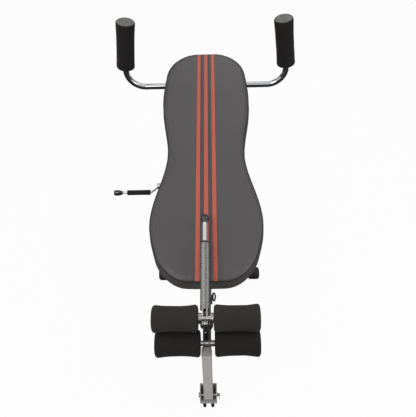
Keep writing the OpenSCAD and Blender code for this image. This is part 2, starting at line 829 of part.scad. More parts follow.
module arm_pivot_bolts() {
    color(chrome_grey) on_bed() mirrored_pair() {
        bar_x(arm_bolt_r, bracket_in, arm_out + 0.3, arm_pivot_y, arm_pivot_up);
        translate([arm_out + 0.3, arm_pivot_y, arm_pivot_up]) rotate([0, 90, 0])
            cylinder(r = 9, h = 4, $fn = 6);
        bar_x(9, bracket_out, arm_in - 0.3, arm_pivot_y, arm_pivot_up);
    }
}

// ---- Foot post, upright at rest, with a cap and a swivel foot
cap_top_t = 3;
bolt_clear = 0.5;
foot_bolt_h = foot_pad_h + sole_t + post_w / 2 + bolt_clear;
post_mid = (post_front + post_back) / 2;

module foot_post() {
    color(light_grey) on_floor() difference() {
        union() {
            translate([0, post_mid, foot_bolt_h])
                linear_extrude(post_top - cap_top_t - foot_bolt_h) rounded_square(post_w, post_corner_r);
            bar_x(post_w / 2, -post_w / 2, post_w / 2, post_mid, foot_bolt_h);
        }
        translate([0, post_mid, 0])
            linear_extrude(post_top) square(post_w - 2 * tube_wall, center = true);
        bar_x(foot_bolt_r + turn_gap, -post_w, post_w, post_mid, foot_bolt_h);
    }
}
module post_cap() {
    color([0.3, 0.3, 0.3]) on_floor() translate([0, post_mid, post_top - cap_top_t]) {
        linear_extrude(cap_top_t) rounded_square(post_w, post_corner_r);
        translate([0, 0, -12]) linear_extrude(12)
            square(post_w - 2 * tube_wall - 2 * seat_gap, center = true);
    }
}

foot_half = foot_w / 2;
foot_back_gap = 8;
foot_web_t = 4;
foot_depth = foot_margin + post_w + foot_back_gap + foot_web_t;
sole_z = foot_pad_h;
foot_top = sole_z + foot_side_h;
// A folded bracket: sole, back and two sides with a sloped front edge
module foot_bracket() {
    color(steel_grey) on_floor() difference() {
        union() {
            translate([-foot_half, foot_front, sole_z]) cube([foot_w, foot_depth, sole_t]);
            translate([-foot_half, foot_front + foot_depth - foot_web_t, sole_z])
                cube([foot_w, foot_web_t, foot_side_h]);
            mirrored_pair() plate_x(foot_half - foot_side_t, foot_side_t)
                polygon([[foot_front, sole_z], [foot_front, foot_bolt_h + 12],
                         [foot_front + 22, foot_top], [foot_front + foot_depth, foot_top],
                         [foot_front + foot_depth, sole_z]]);
        }
        bar_x(foot_bolt_r + seat_gap, -foot_w, foot_w, post_mid, foot_bolt_h);
    }
}
// The bolt's end has a cross hole, and a split ring through it keeps the bolt in place
bolt_end_x = foot_half + 12;
split_ring_x = foot_half + 8.5;
split_ring_r = 11;
split_wire_r = 1.2;
cross_hole_r = 2.8;
module foot_bolt() {
    color(chrome_grey) on_floor() difference() {
        union() {
            bar_x(foot_bolt_r, -foot_half, bolt_end_x, post_mid, foot_bolt_h);
            bar_x(9, -foot_half - 5, -foot_half, post_mid, foot_bolt_h);
            bar_x(8, foot_half, foot_half + 2.5, post_mid, foot_bolt_h);
            mirrored_pair()
                bar_x(8, post_w / 2 + end_gap, foot_half - foot_side_t, post_mid, foot_bolt_h);
        }
        translate([split_ring_x, post_mid, foot_bolt_h]) rotate([90, 0, 0])
            cylinder(r = cross_hole_r, h = post_w, center = true);
    }
}
module foot_pin_ring() {
    color(chrome_grey) on_floor()
        translate([split_ring_x, post_mid, foot_bolt_h - split_ring_r]) rotate([0, 90, 0])
            rotate_extrude() translate([split_ring_r, 0]) circle(split_wire_r, $fn = 24);
}
foot_pad_x = 15.5;
foot_pad_in = 8.5;
module foot_pads() {
    color(black) on_floor()
        for (sx = [-1, 1], y = [foot_front + foot_pad_in, foot_front + foot_depth - foot_pad_in])
            translate([sx * foot_pad_x, y, 0]) cylinder(r1 = 6.2, r2 = 7.6, h = foot_pad_h);
}

// ---- Arms that carry the front rollers
arm_hub_r = 19;
module ankle_arms() {
    color(light_grey) on_bed() mirrored_pair() difference() {
        union() {
            plate_x(arm_in, link_plate_t) {
                polygon([[arm_pivot_y - 13, arm_pivot_up + 4], [front_axle_y - 18, front_axle_up - 6],
                         [front_axle_y + 18, front_axle_up - 6], [arm_pivot_y + 13, arm_pivot_up + 4]]);
                translate([arm_pivot_y, arm_pivot_up]) circle(14);
                translate([front_axle_y, front_axle_up]) circle(arm_hub_r);
            }
            bar_x(arm_hub_r, arm_out, front_roller_gap - end_gap, front_axle_y, front_axle_up);
        }
        bar_x(axle_r + seat_gap, 0, front_roller_gap, front_axle_y, front_axle_up);
        bar_x(arm_bolt_r + turn_gap, 0, front_roller_gap, arm_pivot_y, arm_pivot_up);
    }
}
module front_axle() {
    color(chrome_grey)
        axle(front_axle_y, front_axle_up, roller_end(front_roller_gap), roller_end(front_roller_gap));
}

// ---- Clamp lever: clevis, tube, collar, sliding rod and ball
fork_in = 6;
fork_t = 3.5;
lever_y = front_axle_y + lever_start;
lever_z = front_axle_up + lever_up;
lever_r = lever_d / 2;
lever_end = lever_y + lever_len;
lever_pin_y = front_axle_y - lever_short_arm;
fork_lobe_r = 8.6;

module lever_fork(x) {
    plate_x(x, fork_t) difference() {
        union() {
            polygon([[front_axle_y - 3, front_axle_up - 14.6], [lever_y, lever_z - lever_r + 1],
                     [lever_y, lever_z + lever_r - 1], [front_axle_y - 3, front_axle_up + 14.6]]);
            translate([front_axle_y, front_axle_up]) circle(15);
            translate([lever_pin_y, front_axle_up - fork_lobe_r]) square([lever_short_arm, 2 * fork_lobe_r]);
            translate([lever_pin_y, front_axle_up]) circle(fork_lobe_r);
        }
        translate([front_axle_y, front_axle_up]) circle(axle_r + turn_gap);
        translate([lever_pin_y, front_axle_up]) circle(tie_pin_r + seat_gap);
    }
}
module lever_clevis() {
    color(light_grey) on_bed() {
        lever_fork(lever_x - fork_in - fork_t);
        lever_fork(lever_x + fork_in);
    }
    color(chrome_grey) on_bed()
        bar_x(tie_pin_r, lever_x - fork_in - fork_t - 1, lever_x + fork_in + fork_t + 1,
              lever_pin_y, front_axle_up);
}
module along_lever(y) {
    on_bed() translate([lever_x, y, lever_z]) rotate([-90, 0, 0]) children();
}
module lever_tube() {
    color([0.5, 0.5, 0.5]) along_lever(lever_y) difference() {
        cylinder(r = lever_r, h = lever_len);
        translate([0, 0, -past]) cylinder(r = lever_r - tube_wall, h = lever_len + 2 * past);
    }
}
lever_rod_in = 116;
collar_plug = 14;
collar_lip = 0.8;
collar_edge = 1.5;
// The collar plugs the tube's end and guides the rod
module lever_collar() {
    color(black) along_lever(lever_end) difference() {
        union() {
            translate([0, 0, -collar_plug])
                cylinder(r = lever_r - tube_wall - seat_gap, h = collar_plug);
            cylinder(r = lever_r + collar_lip, h = lever_collar_len - collar_edge);
            translate([0, 0, lever_collar_len - collar_edge])
                cylinder(r1 = lever_r + collar_lip, r2 = lever_r + collar_lip - collar_edge, h = collar_edge);
        }
        translate([0, 0, -collar_plug - past])
            cylinder(r = lever_rod_d / 2 + turn_gap, h = collar_plug + lever_collar_len + 2 * past);
    }
}
module lever_rod() {
    color(chrome_grey) along_lever(lever_end - lever_rod_in)
        cylinder(r = lever_rod_d / 2, h = lever_rod_in + ball_reach - ball_d / 4);
}
module ball_knob() {
    color(black) along_lever(lever_end + ball_reach) difference() {
        sphere(ball_d / 2);
        translate([0, 0, -ball_d]) cylinder(r = lever_rod_d / 2 + seat_gap, h = ball_d * 3 / 4);
    }
}

// The tie link holds the lever's short arm to the bracket. Its far end is the open
// pivot, so its eye is wide by the small change of length that a real one takes up.
tie_t = 5;
tie_x = lever_x - tie_t / 2;
tie_eye_r = 8.6;
tie_open_r = tie_pin_r + 1.3;
module tie_link() {
    run = [lever_pin_y - tie_pin_y, front_axle_up - tie_pin_up];
    tie_len = norm(run);
    rod_from = tie_eye_r - 1.5;
    color(chrome_grey) on_bed() translate([0, tie_pin_y, tie_pin_up])
        rotate([atan2(run[1], run[0]), 0, 0]) difference() {
            union() {
                bar_x(tie_eye_r, tie_x, tie_x + tie_t);
                bar_x(tie_eye_r - 0.4, tie_x, tie_x + tie_t, tie_len, 0);
                translate([lever_x, rod_from, 0]) rotate([-90, 0, 0])
                    cylinder(r = 2.4, h = tie_len - 2 * rod_from);
            }
            bar_x(tie_pin_r + turn_gap, tie_x - past, tie_x + tie_t + past);
            bar_x(tie_open_r, tie_x - past, tie_x + tie_t + past, tie_len, 0);
        }
}

// ---- Foam rollers on plastic bushes
foam_edge_r = 10;
roller_steps = 10;
roller_pinch = 2;
roller_bush_r = axle_r + 4;
function roller_r(t) = roller_d / 2 - roller_pinch * (1 - pow(2 * t - 1, 2));
module roller(x0, y, z) {
    on_bed() translate([x0, y, z]) rotate([0, 90, 0]) rotate_extrude() polygon(concat(
        [[roller_bush_r + foam_gap, 0], [roller_d / 2 - foam_edge_r, 0],
         [roller_d / 2 - foam_edge_r * 0.3, foam_edge_r * 0.3]],
        [for (i = [0:roller_steps]) [roller_r(i / roller_steps),
            foam_edge_r + (roller_len - 2 * foam_edge_r) * i / roller_steps]],
        [[roller_d / 2 - foam_edge_r * 0.3, roller_len - foam_edge_r * 0.3],
         [roller_d / 2 - foam_edge_r, roller_len], [roller_bush_r + foam_gap, roller_len]]));
}
module roller_bush(x0, y, z) {
    on_bed() ring_x(roller_bush_r, axle_r + turn_gap, x0, x0 + roller_len - 2 * recess, y, z);
}
module front_roller_left() {
    color(foam_black) roller(-front_roller_gap - roller_len, front_axle_y, front_axle_up);
}
module front_roller_right() {
    color(foam_black) roller(front_roller_gap, front_axle_y, front_axle_up);
}
module rear_roller_left() {
    color(foam_black) roller(-rear_gap_left - roller_len, rear_axle_y, rear_axle_up);
}
module rear_roller_right() {
    color(foam_black) roller(rear_gap_right, rear_axle_y, rear_axle_up);
}
module front_bush_left() {
    color(black) roller_bush(-front_roller_gap - roller_len + 2 * recess, front_axle_y, front_axle_up);
}
module front_bush_right() {
    color(black) roller_bush(front_roller_gap, front_axle_y, front_axle_up);
}
module rear_bush_left() {
    color(black) roller_bush(-rear_gap_left - roller_len + 2 * recess, rear_axle_y, rear_axle_up);
}
module rear_bush_right() {
    color(black) roller_bush(rear_gap_right, rear_axle_y, rear_axle_up);
}

front_floor_tube();
rear_floor_tube();
floor_tube_caps();
left_rail();
right_rail();
left_front_strut();
right_front_strut();
left_rear_strut();
right_rear_strut();
pivot_plates();
pivot_bushes();
brake_bracket();
brake_shoe();
brake_lever_rod();
brake_lever_grip();
brake_lever_knob();
main_beam();
beam_collar();
beam_saddles();
board_bolts();
seat_board();
seat_pad();
pivot_shaft();
brake_sector();
handle_bar();
handle_clamps();
handle_plugs();
left_hand_grip();
right_hand_grip();
pull_pin();
pull_pin_loop();
boom_tube();
ankle_bracket();
rear_axle();
rear_axle_spacer();
arm_pivot_bolts();
foot_post();
post_cap();
foot_bracket();
foot_bolt();
foot_pin_ring();
foot_pads();
ankle_arms();
front_axle();
tie_link();
lever_clevis();
lever_tube();
lever_collar();
lever_rod();
ball_knob();
front_roller_left();
front_roller_right();
rear_roller_left();
rear_roller_right();
front_bush_left();
front_bush_right();
rear_bush_left();
rear_bush_right();
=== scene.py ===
"""The looks of an inversion table: padded bed, foam, paint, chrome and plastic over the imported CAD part."""
import json
import math

import bmesh
import bpy
import numpy as np
from mathutils import Matrix, Vector, noise
from mathutils.bvhtree import BVHTree
from mathutils.kdtree import KDTree
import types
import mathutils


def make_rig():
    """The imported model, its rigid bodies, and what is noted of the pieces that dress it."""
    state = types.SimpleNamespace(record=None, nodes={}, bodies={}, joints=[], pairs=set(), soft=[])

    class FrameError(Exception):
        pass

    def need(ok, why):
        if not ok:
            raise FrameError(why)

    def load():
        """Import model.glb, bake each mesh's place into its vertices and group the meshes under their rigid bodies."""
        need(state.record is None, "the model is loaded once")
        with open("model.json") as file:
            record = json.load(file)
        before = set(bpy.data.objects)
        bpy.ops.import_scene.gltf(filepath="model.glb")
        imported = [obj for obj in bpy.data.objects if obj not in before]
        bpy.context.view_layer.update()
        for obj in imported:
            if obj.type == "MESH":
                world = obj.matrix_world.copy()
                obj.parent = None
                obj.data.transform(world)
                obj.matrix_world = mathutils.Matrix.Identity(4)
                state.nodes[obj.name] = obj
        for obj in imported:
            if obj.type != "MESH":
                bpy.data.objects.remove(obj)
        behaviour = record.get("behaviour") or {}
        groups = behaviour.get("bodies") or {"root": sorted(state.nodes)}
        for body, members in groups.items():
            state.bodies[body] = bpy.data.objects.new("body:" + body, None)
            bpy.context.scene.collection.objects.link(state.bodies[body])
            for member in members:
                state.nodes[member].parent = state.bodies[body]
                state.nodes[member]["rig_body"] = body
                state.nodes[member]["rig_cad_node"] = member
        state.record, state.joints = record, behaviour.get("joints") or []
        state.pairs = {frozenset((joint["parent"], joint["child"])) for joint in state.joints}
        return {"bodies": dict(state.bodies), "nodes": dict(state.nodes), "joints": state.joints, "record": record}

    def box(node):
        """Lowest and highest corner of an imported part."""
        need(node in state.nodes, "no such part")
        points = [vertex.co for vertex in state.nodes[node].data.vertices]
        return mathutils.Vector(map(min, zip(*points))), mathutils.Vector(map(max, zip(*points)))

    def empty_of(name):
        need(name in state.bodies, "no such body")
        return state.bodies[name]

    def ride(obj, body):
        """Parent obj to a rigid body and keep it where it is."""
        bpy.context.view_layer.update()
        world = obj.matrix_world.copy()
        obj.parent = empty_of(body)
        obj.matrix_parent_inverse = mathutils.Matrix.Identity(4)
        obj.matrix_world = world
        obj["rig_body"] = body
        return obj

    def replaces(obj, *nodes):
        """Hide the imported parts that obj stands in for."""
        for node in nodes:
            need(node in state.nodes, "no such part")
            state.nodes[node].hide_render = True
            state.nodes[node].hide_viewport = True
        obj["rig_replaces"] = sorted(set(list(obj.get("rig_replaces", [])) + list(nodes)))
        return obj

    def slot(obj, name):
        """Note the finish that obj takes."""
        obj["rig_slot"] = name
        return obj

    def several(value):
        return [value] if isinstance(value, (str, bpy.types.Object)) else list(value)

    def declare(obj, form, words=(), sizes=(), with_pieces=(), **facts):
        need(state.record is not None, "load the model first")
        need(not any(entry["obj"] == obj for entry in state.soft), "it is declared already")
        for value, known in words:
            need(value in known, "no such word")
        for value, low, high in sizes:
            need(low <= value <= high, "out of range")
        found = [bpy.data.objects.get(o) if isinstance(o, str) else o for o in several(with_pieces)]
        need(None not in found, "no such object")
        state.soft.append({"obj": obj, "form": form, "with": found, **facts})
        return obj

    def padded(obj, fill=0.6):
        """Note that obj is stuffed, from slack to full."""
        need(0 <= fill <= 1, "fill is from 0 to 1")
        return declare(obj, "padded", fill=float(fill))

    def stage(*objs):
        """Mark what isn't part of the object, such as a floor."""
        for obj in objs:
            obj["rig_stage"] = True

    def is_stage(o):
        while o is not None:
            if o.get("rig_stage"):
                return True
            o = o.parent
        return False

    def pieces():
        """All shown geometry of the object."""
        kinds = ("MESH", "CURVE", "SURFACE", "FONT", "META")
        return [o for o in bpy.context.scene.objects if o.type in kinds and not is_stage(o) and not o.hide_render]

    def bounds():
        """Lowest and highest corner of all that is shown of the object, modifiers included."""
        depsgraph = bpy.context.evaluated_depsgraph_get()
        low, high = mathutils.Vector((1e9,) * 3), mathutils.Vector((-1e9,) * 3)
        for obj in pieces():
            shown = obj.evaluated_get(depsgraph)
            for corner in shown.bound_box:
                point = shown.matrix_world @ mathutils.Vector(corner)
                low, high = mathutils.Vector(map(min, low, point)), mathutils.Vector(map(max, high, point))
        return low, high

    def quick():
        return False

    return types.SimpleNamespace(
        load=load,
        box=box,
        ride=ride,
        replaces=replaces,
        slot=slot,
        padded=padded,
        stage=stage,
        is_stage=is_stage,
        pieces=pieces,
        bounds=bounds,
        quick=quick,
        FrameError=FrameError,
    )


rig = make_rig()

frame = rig.load()
cad_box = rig.bounds()

# ---- The view: a standing person's camera in front of the foot end, looking down on the bed.
# The bed's edges, the rollers, the ball, the post's foot and the grips settle it.
image_w, image_h = 416, 417
image_long = max(image_w, image_h)
sensor_width = 36.0
lens = 480.0 / image_long * sensor_width
camera_shift = (0.0, 0.0)
camera_place = Vector((0.0431, -1.6605, 1.8036))
camera_yaw, camera_pitch, camera_roll = map(math.radians, (-1.354, 39.796, -1.771))


def placed(name, data):
    """A new object in the scene, at the origin."""
    thing = bpy.data.objects.new(name, data)
    bpy.context.collection.objects.link(thing)
    return thing


forward = Vector((math.sin(camera_yaw) * math.cos(camera_pitch),
                  math.cos(camera_yaw) * math.cos(camera_pitch), -math.sin(camera_pitch)))
level = Vector((math.cos(camera_yaw), -math.sin(camera_yaw), 0))
camera_right = Matrix.Rotation(-camera_roll, 3, forward) @ level
camera_axes = Matrix((camera_right, camera_right.cross(forward), -forward)).transposed()

camera_data = bpy.data.cameras.new("camera")
camera_data.lens, camera_data.sensor_width, camera_data.sensor_fit = lens, sensor_width, "AUTO"
camera_data.shift_x, camera_data.shift_y = camera_shift
camera = placed("camera", camera_data)
camera.matrix_world = Matrix.Translation(camera_place) @ camera_axes.to_4x4()
bpy.context.scene.camera = camera
bpy.context.scene.view_settings.view_transform = "Standard"

# Where things show in the photograph, in its pixels, from its top left corner
image_points = {
    "left": 115.1, "right": 295.3, "top": 15.1, "bottom": 406.7,
    "left_hand_grip": (126.6, 43.9), "right_hand_grip": (285.6, 40.9),
    "front_roller_left": (175.2, 318.8), "front_roller_right": (237.0, 317.7),
    "ball_knob": (203.6, 218.5), "brake_lever_grip": (140.0, 192.6),
    "brake_lever_knob": (119.5, 192.6), "pull_pin_loop": (212.3, 296.0),
    "bed_foot_edge": (206.9, 288.5), "bed_head_edge": (204.6, 53.5),
    "bed_left_hip": (148.4, 229.4), "bed_right_hip": (264.6, 236.2),
    "middle_stripe": (205.5, 190.0), "right_stripe": (213.7, 190.0),
    "post_cap": (206.4, 349.5), "foot_pads": (208.7, 404.5),
}


def image_ray(x, y):
    """The camera's ray through a point of the photograph."""
    way = Vector((x - image_w / 2 + camera_shift[0] * image_long,
                  image_h / 2 - y + camera_shift[1] * image_long,
                  -image_long * lens / sensor_width))
    return camera_place, (camera_axes @ way).normalized()


def image_place(point):
    """Where a place in the scene shows in the photograph's frame."""
    x, y, z = camera_axes.transposed() @ (Vector(point) - camera_place)
    scale = image_long * lens / sensor_width / -z
    return (image_w / 2 - camera_shift[0] * image_long + x * scale,
            image_h / 2 + camera_shift[1] * image_long - y * scale)


def on_surface(x, y, tree):
    """The place on a piece that shows at a point of the photograph, and the way that it faces.
    A miss takes the place nearest the ray, looked for from 0.8 to 2.8 m along it."""
    start, way = image_ray(x, y)
    hit = tree.ray_cast(start, way)
    if hit[0] is None:
        near = min((start + way * (0.8 + step * 0.02) for step in range(100)),
                   key=lambda p: tree.find_nearest(p)[3])
        hit = tree.find_nearest(near)
    return hit[0], hit[1]


# ---- Room: a white studio floor, with two soft lamps high in front and one behind.
# The floor shows white to the camera and in reflections, and keeps the object's shadow.
room_light = 0.62
paper_tone, floor_glow = 0.62, 0.96
card_tone, card_rough = 0.03, 0.9
lamp_aim = Vector((0, 0, 0.5))


def add_node(tree, kind, inputs=None, **settings):
    """A new node with its settings. Each input takes a value, or a link from another node's output."""
    node = tree.nodes.new(kind)
    for name, value in settings.items():
        setattr(node, name, value)
    for socket, value in (inputs or {}).items():
        if isinstance(value, bpy.types.NodeSocket):
            tree.links.new(value, node.inputs[socket])
        else:
            node.inputs[socket].default_value = value
    return node


def ray_mask(tree, *kinds):
    """1 for rays of these kinds, and 0 for all others."""
    rays = tree.nodes.new("ShaderNodeLightPath")
    mask = rays.outputs[kinds[0]]
    for kind in kinds[1:]:
        mask = add_node(tree, "ShaderNodeMath", {0: mask, 1: rays.outputs[kind]}, operation="ADD",
                        use_clamp=True).outputs[0]
    return mask


def mixed(tree, share, first, second):
    """Two shaders mixed: the second one's share is a number or a mask."""
    return add_node(tree, "ShaderNodeMixShader", {0: share, 1: first, 2: second}).outputs[0]


world = bpy.data.worlds.new("studio")
bpy.context.scene.world = world
world.use_nodes = True
world.node_tree.nodes.clear()
dim = add_node(world.node_tree, "ShaderNodeBackground", {"Strength": room_light}).outputs[0]
white = add_node(world.node_tree, "ShaderNodeBackground", {"Strength": 1.0}).outputs[0]
seen = ray_mask(world.node_tree, "Is Camera Ray", "Is Glossy Ray", "Is Transmission Ray")
add_node(world.node_tree, "ShaderNodeOutputWorld", {"Surface": mixed(world.node_tree, seen, dim, white)})

lamps = (("key", (-1.6, -2.4, 3.2), 1.8, 46), ("fill", (2.2, -1.4, 2.4), 1.6, 20),
         ("back", (0.4, 2.6, 2.8), 2.0, 15))
for name, place, size, power in lamps:
    lamp = bpy.data.lights.new(name, "AREA")
    lamp.size, lamp.energy = size, power
    lamp_object = placed(name, lamp)
    lamp_object.location = place
    lamp_object.rotation_euler = (lamp_aim - Vector(place)).to_track_quat("-Z", "Y").to_euler()


def studio_sheet(name, xs, ys, zs, material):
    """A flat sheet of the studio, between two edges along X. It isn't part of the object."""
    mesh = bpy.data.meshes.new(name)
    corners = [(xs[0], ys[0], zs[0]), (xs[1], ys[0], zs[0]), (xs[1], ys[1], zs[1]), (xs[0], ys[1], zs[1])]
    mesh.from_pydata(corners, [], [(0, 1, 2, 3)])
    mesh.materials.append(material)
    sheet = placed(name, mesh)
    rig.stage(sheet)
    return sheet


floor_material = bpy.data.materials.new("white_floor")
floor_material.use_nodes = True
tree = floor_material.node_tree
tree.nodes.clear()
paper = add_node(tree, "ShaderNodeBsdfDiffuse", {"Color": (paper_tone, paper_tone, paper_tone, 1)}).outputs[0]
glow = add_node(tree, "ShaderNodeEmission", {"Strength": 1.0}).outputs[0]
lit_paper = mixed(tree, floor_glow, paper, glow)
floor_seen = mixed(tree, ray_mask(tree, "Is Camera Ray", "Is Glossy Ray"), paper, lit_paper)
add_node(tree, "ShaderNodeOutputMaterial", {"Surface": floor_seen})
studio_sheet("studio_floor", (-7.0, 7.0), (-7.0, 7.0), (0.0, 0.0), floor_material)

# Dark cards behind, in front and below the object. Only reflections see them: they give the bent
# chrome its dark lines, as the far side of a real studio does.
card_material = bpy.data.materials.new("black_card")
card_material.use_nodes = True
card_shader = card_material.node_tree.nodes["Principled BSDF"]
card_shader.inputs["Base Color"].default_value = (card_tone, card_tone, card_tone, 1)
card_shader.inputs["Roughness"].default_value = card_rough
for name, xs, ys, zs in (("card_behind", (-3.0, 3.0), (3.0, 3.0), (0.0, 3.6)),
                         ("card_in_front", (-3.0, 3.0), (-3.6, -3.6), (0.0, 2.0)),
                         ("card_below", (-2.2, 2.2), (-3.6, 3.0), (0.003, 0.003))):
    card = studio_sheet(name, xs, ys, zs, card_material)
    card.visible_camera = card.visible_shadow = card.visible_diffuse = False

# ---- Floor base: welded steel tube in a satin grey powder coat, on black rubber end caps.
# Two floor tubes, two rails and four struts carry the pivot plates. The bed hides most of it.
def srgb(r, g, b):
    """A colour written as the photograph's 0 to 255 values, as Blender's linear ones."""
    linear = [c / 255 / 12.92 if c <= 10 else ((c / 255 + 0.055) / 1.055) ** 2.4 for c in (r, g, b)]
    return (*linear, 1.0)


def add_sockets(tree, in_out, sockets):
    """Named inputs or outputs of a node tree, each with its kind."""
    for name, kind in sockets:
        tree.interface.new_socket(name, in_out=in_out, socket_type=f"NodeSocket{kind}")


def make_grain_group():
    """A surface's fine relief and slow change of tone, as two noises on Object coordinates."""
    group = bpy.data.node_groups.new("surface grain", "ShaderNodeTree")
    add_sockets(group, "INPUT", (("Vector", "Vector"), ("Fine scale", "Float"), ("Broad scale", "Float"),
                                 ("Dark", "Color"), ("Light", "Color")))
    add_sockets(group, "OUTPUT", (("Color", "Color"), ("Height", "Float"), ("Tone", "Float")))
    given = group.nodes.new("NodeGroupInput").outputs
    fine, broad = [add_node(group, "ShaderNodeTexNoise", {"Vector": given["Vector"], "Scale": given[scale],
                                                          "Detail": detail}).outputs[0]
                   for scale, detail in (("Fine scale", 3.0), ("Broad scale", 5.0))]
    mix = add_node(group, "ShaderNodeMix", {0: broad, 6: given["Dark"], 7: given["Light"]}, data_type="RGBA")
    add_node(group, "NodeGroupOutput", {"Color": mix.outputs[2], "Height": fine, "Tone": broad})
    return group


grain_group = make_grain_group()


def finish_of(name, dark, light, fine_scale, depth, rough, rough_change=0.08, broad_scale=9.0, **plain):
    """A material with grain: two tones of one colour, a bump, and roughness that changes a little."""
    material = bpy.data.materials.new(name)
    material.use_nodes = True
    tree = material.node_tree
    shader = tree.nodes["Principled BSDF"]
    place = add_node(tree, "ShaderNodeTexCoord").outputs["Object"]
    grain = add_node(tree, "ShaderNodeGroup", {"Vector": place, "Fine scale": fine_scale, "Dark": dark,
                                               "Broad scale": broad_scale, "Light": light},
                     node_tree=grain_group, name="grain")
    change = add_node(tree, "ShaderNodeMapRange", {
        "Value": grain.outputs["Tone"], "To Min": rough - rough_change, "To Max": rough + rough_change})
    bump = add_node(tree, "ShaderNodeBump", {"Height": grain.outputs["Height"], "Distance": depth})
    for source, socket in ((grain.outputs["Color"], "Base Color"), (change.outputs[0], "Roughness"),
                           (bump.outputs[0], "Normal")):
        tree.links.new(source, shader.inputs[socket])
    for socket, value in plain.items():
        shader.inputs[socket.replace("_", " ")].default_value = value
    return material


powder_coat = finish_of("grey_powder_coat", srgb(84, 84, 86), srgb(98, 98, 100), 700, 0.00012, 0.42)
rubber = finish_of("black_rubber", srgb(26, 26, 26), srgb(38, 37, 36), 900, 0.0001, 0.68)


def dress(material, *nodes):
    """A CAD node keeps its shape and takes this finish."""
    for node in nodes:
        mesh = frame["nodes"][node].data
        mesh.materials.clear()
        mesh.materials.append(material)


dress(powder_coat, "front_floor_tube", "rear_floor_tube", "left_rail", "right_rail", "left_front_strut",
      "right_front_strut", "left_rear_strut", "right_rear_strut", "pivot_plates", "brake_bracket")
dress(rubber, "pivot_bushes")


def settle(piece, body, slot, replaced=()):
    """Ties a finished piece to its body, its finish's slot and the CAD nodes that it stands for."""
    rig.ride(piece, body)
    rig.slot(piece, slot)
    if replaced:
        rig.replaces(piece, *replaced)


def outward_mesh(name, points, faces, weld=None):
    """A mesh with its faces turned outwards, after points nearer than the weld distance are merged."""
    mesh = bpy.data.meshes.new(name)
    mesh.from_pydata([tuple(p) for p in points], [], faces)
    shape = bmesh.new()
    shape.from_mesh(mesh)
    if weld:
        bmesh.ops.remove_doubles(shape, verts=shape.verts, dist=weld)
    bmesh.ops.recalc_face_normals(shape, faces=shape.faces)
    shape.to_mesh(mesh)
    shape.free()
    return mesh


def make_piece(name, form, material, body, slot, replaced=()):
    """A finished piece that rides on a body, from its points and faces. Its place is in its points."""
    mesh = outward_mesh(name, *form, weld=1e-6)
    mesh.polygons.foreach_set("use_smooth", [True] * len(mesh.polygons))
    mesh.materials.append(material)
    piece = placed(name, mesh)
    settle(piece, body, slot, replaced)
    return piece


def grid_faces(rows, columns, rows_close=False, columns_close=True):
    """Four-sided faces between the neighbouring rows of a grid of points."""
    faces = []
    for row in range(rows if rows_close else rows - 1):
        after = (row + 1) % rows
        for i in range(columns if columns_close else columns - 1):
            j = (i + 1) % columns
            faces.append((row * columns + i, row * columns + j, after * columns + j, after * columns + i))
    return faces


def turned(profile, centre, axis, steps, shift=None):
    """Points and faces of a closed outline of (along, radius) turned round an axis.
    shift(along, radius, angle) may return a changed radius."""
    axis = Vector(axis).normalized()
    side = axis.orthogonal().normalized()
    over = axis.cross(side)
    points = []
    for step in range(steps):
        angle = 2 * math.pi * step / steps
        way = side * math.cos(angle) + over * math.sin(angle)
        for along, radius in profile:
            if shift:
                radius = shift(along, radius, angle)
            points.append(Vector(centre) + axis * along + way * radius)
    return points, grid_faces(steps, len(profile), rows_close=True)


def rounded(corners, steps=5):
    """A closed outline with its corners rounded. Each corner is (along, radius, rounding)."""
    out, points, n = [], [Vector(corner[:2]) for corner in corners], len(corners)
    for i, (here, corner) in enumerate(zip(points, corners)):
        back, on = points[i - 1] - here, points[(i + 1) % n] - here
        turn = min(corner[2], back.length / 2, on.length / 2)
        if turn <= 0:
            out.append(tuple(here))
            continue
        a, b = here + back.normalized() * turn, here + on.normalized() * turn
        for step in range(steps + 1):
            t = step / steps
            out.append(tuple(a * (1 - t) ** 2 + here * 2 * t * (1 - t) + b * t ** 2))
    return out


# End caps: moulded rubber, thicker than the tube, with a rounded nose, a grip groove and a flat sole
cap_wall, cap_len, cap_nose, nose_round, cap_edge, cap_fit = 0.005, 0.050, 0.006, 0.024, 0.001, 0.0001
groove_from, groove_slope, groove_wide, groove_deep = 0.007, 0.002, 0.003, 0.0012
for end in ("front", "rear"):
    low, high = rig.box(f"{end}_floor_tube")
    line_y, line_z = (low.y + high.y) / 2, (low.z + high.z) / 2
    tube_r = (high.z - low.z) / 2
    cap_r, bore_r, outer = tube_r + cap_wall, tube_r + cap_fit, abs(high.x) + cap_nose
    inner, seat = outer - cap_len, outer - cap_nose + cap_fit
    groove = inner + groove_from + groove_slope
    outline = rounded([(inner, bore_r, 0), (inner, cap_r, cap_edge * 2),
                       (inner + groove_from, cap_r, cap_edge), (groove, cap_r - groove_deep, cap_edge),
                       (groove + groove_wide, cap_r - groove_deep, cap_edge),
                       (groove + groove_wide + groove_slope, cap_r, cap_edge), (outer, cap_r, nose_round),
                       (outer, 0.0, 0), (seat, 0.0, 0), (seat, bore_r, 0)])
    for side, sign in (("left", -1), ("right", 1)):
        points, faces = turned(outline, (0, line_y, line_z), (sign, 0, 0), 48)
        points = [Vector((p.x, p.y, max(p.z, 0.0))) for p in points]
        make_piece(f"floor_cap_{end}_{side}", (points, faces), rubber, "base", "rubber",
                   ("floor_tube_caps",) if (end, side) == ("front", "left") else ())

# ---- Tilt brake: a chromed rod bent into a crank, with a foam grip and a black end knob.
# The rod's cam presses a rubber shoe on the sector under the bed.
joints = {joint["name"]: joint for joint in frame["record"]["behaviour"]["joints"]}


def metal_of(name, colour, scale, depth, rough):
    """Bare or plated metal with fine marks in its gloss."""
    light = [min(1, c * 1.1) for c in colour[:3]]
    return finish_of(name, colour, (*light, 1.0), scale, depth, rough, rough_change=0.05, broad_scale=22,
                     Metallic=1.0)


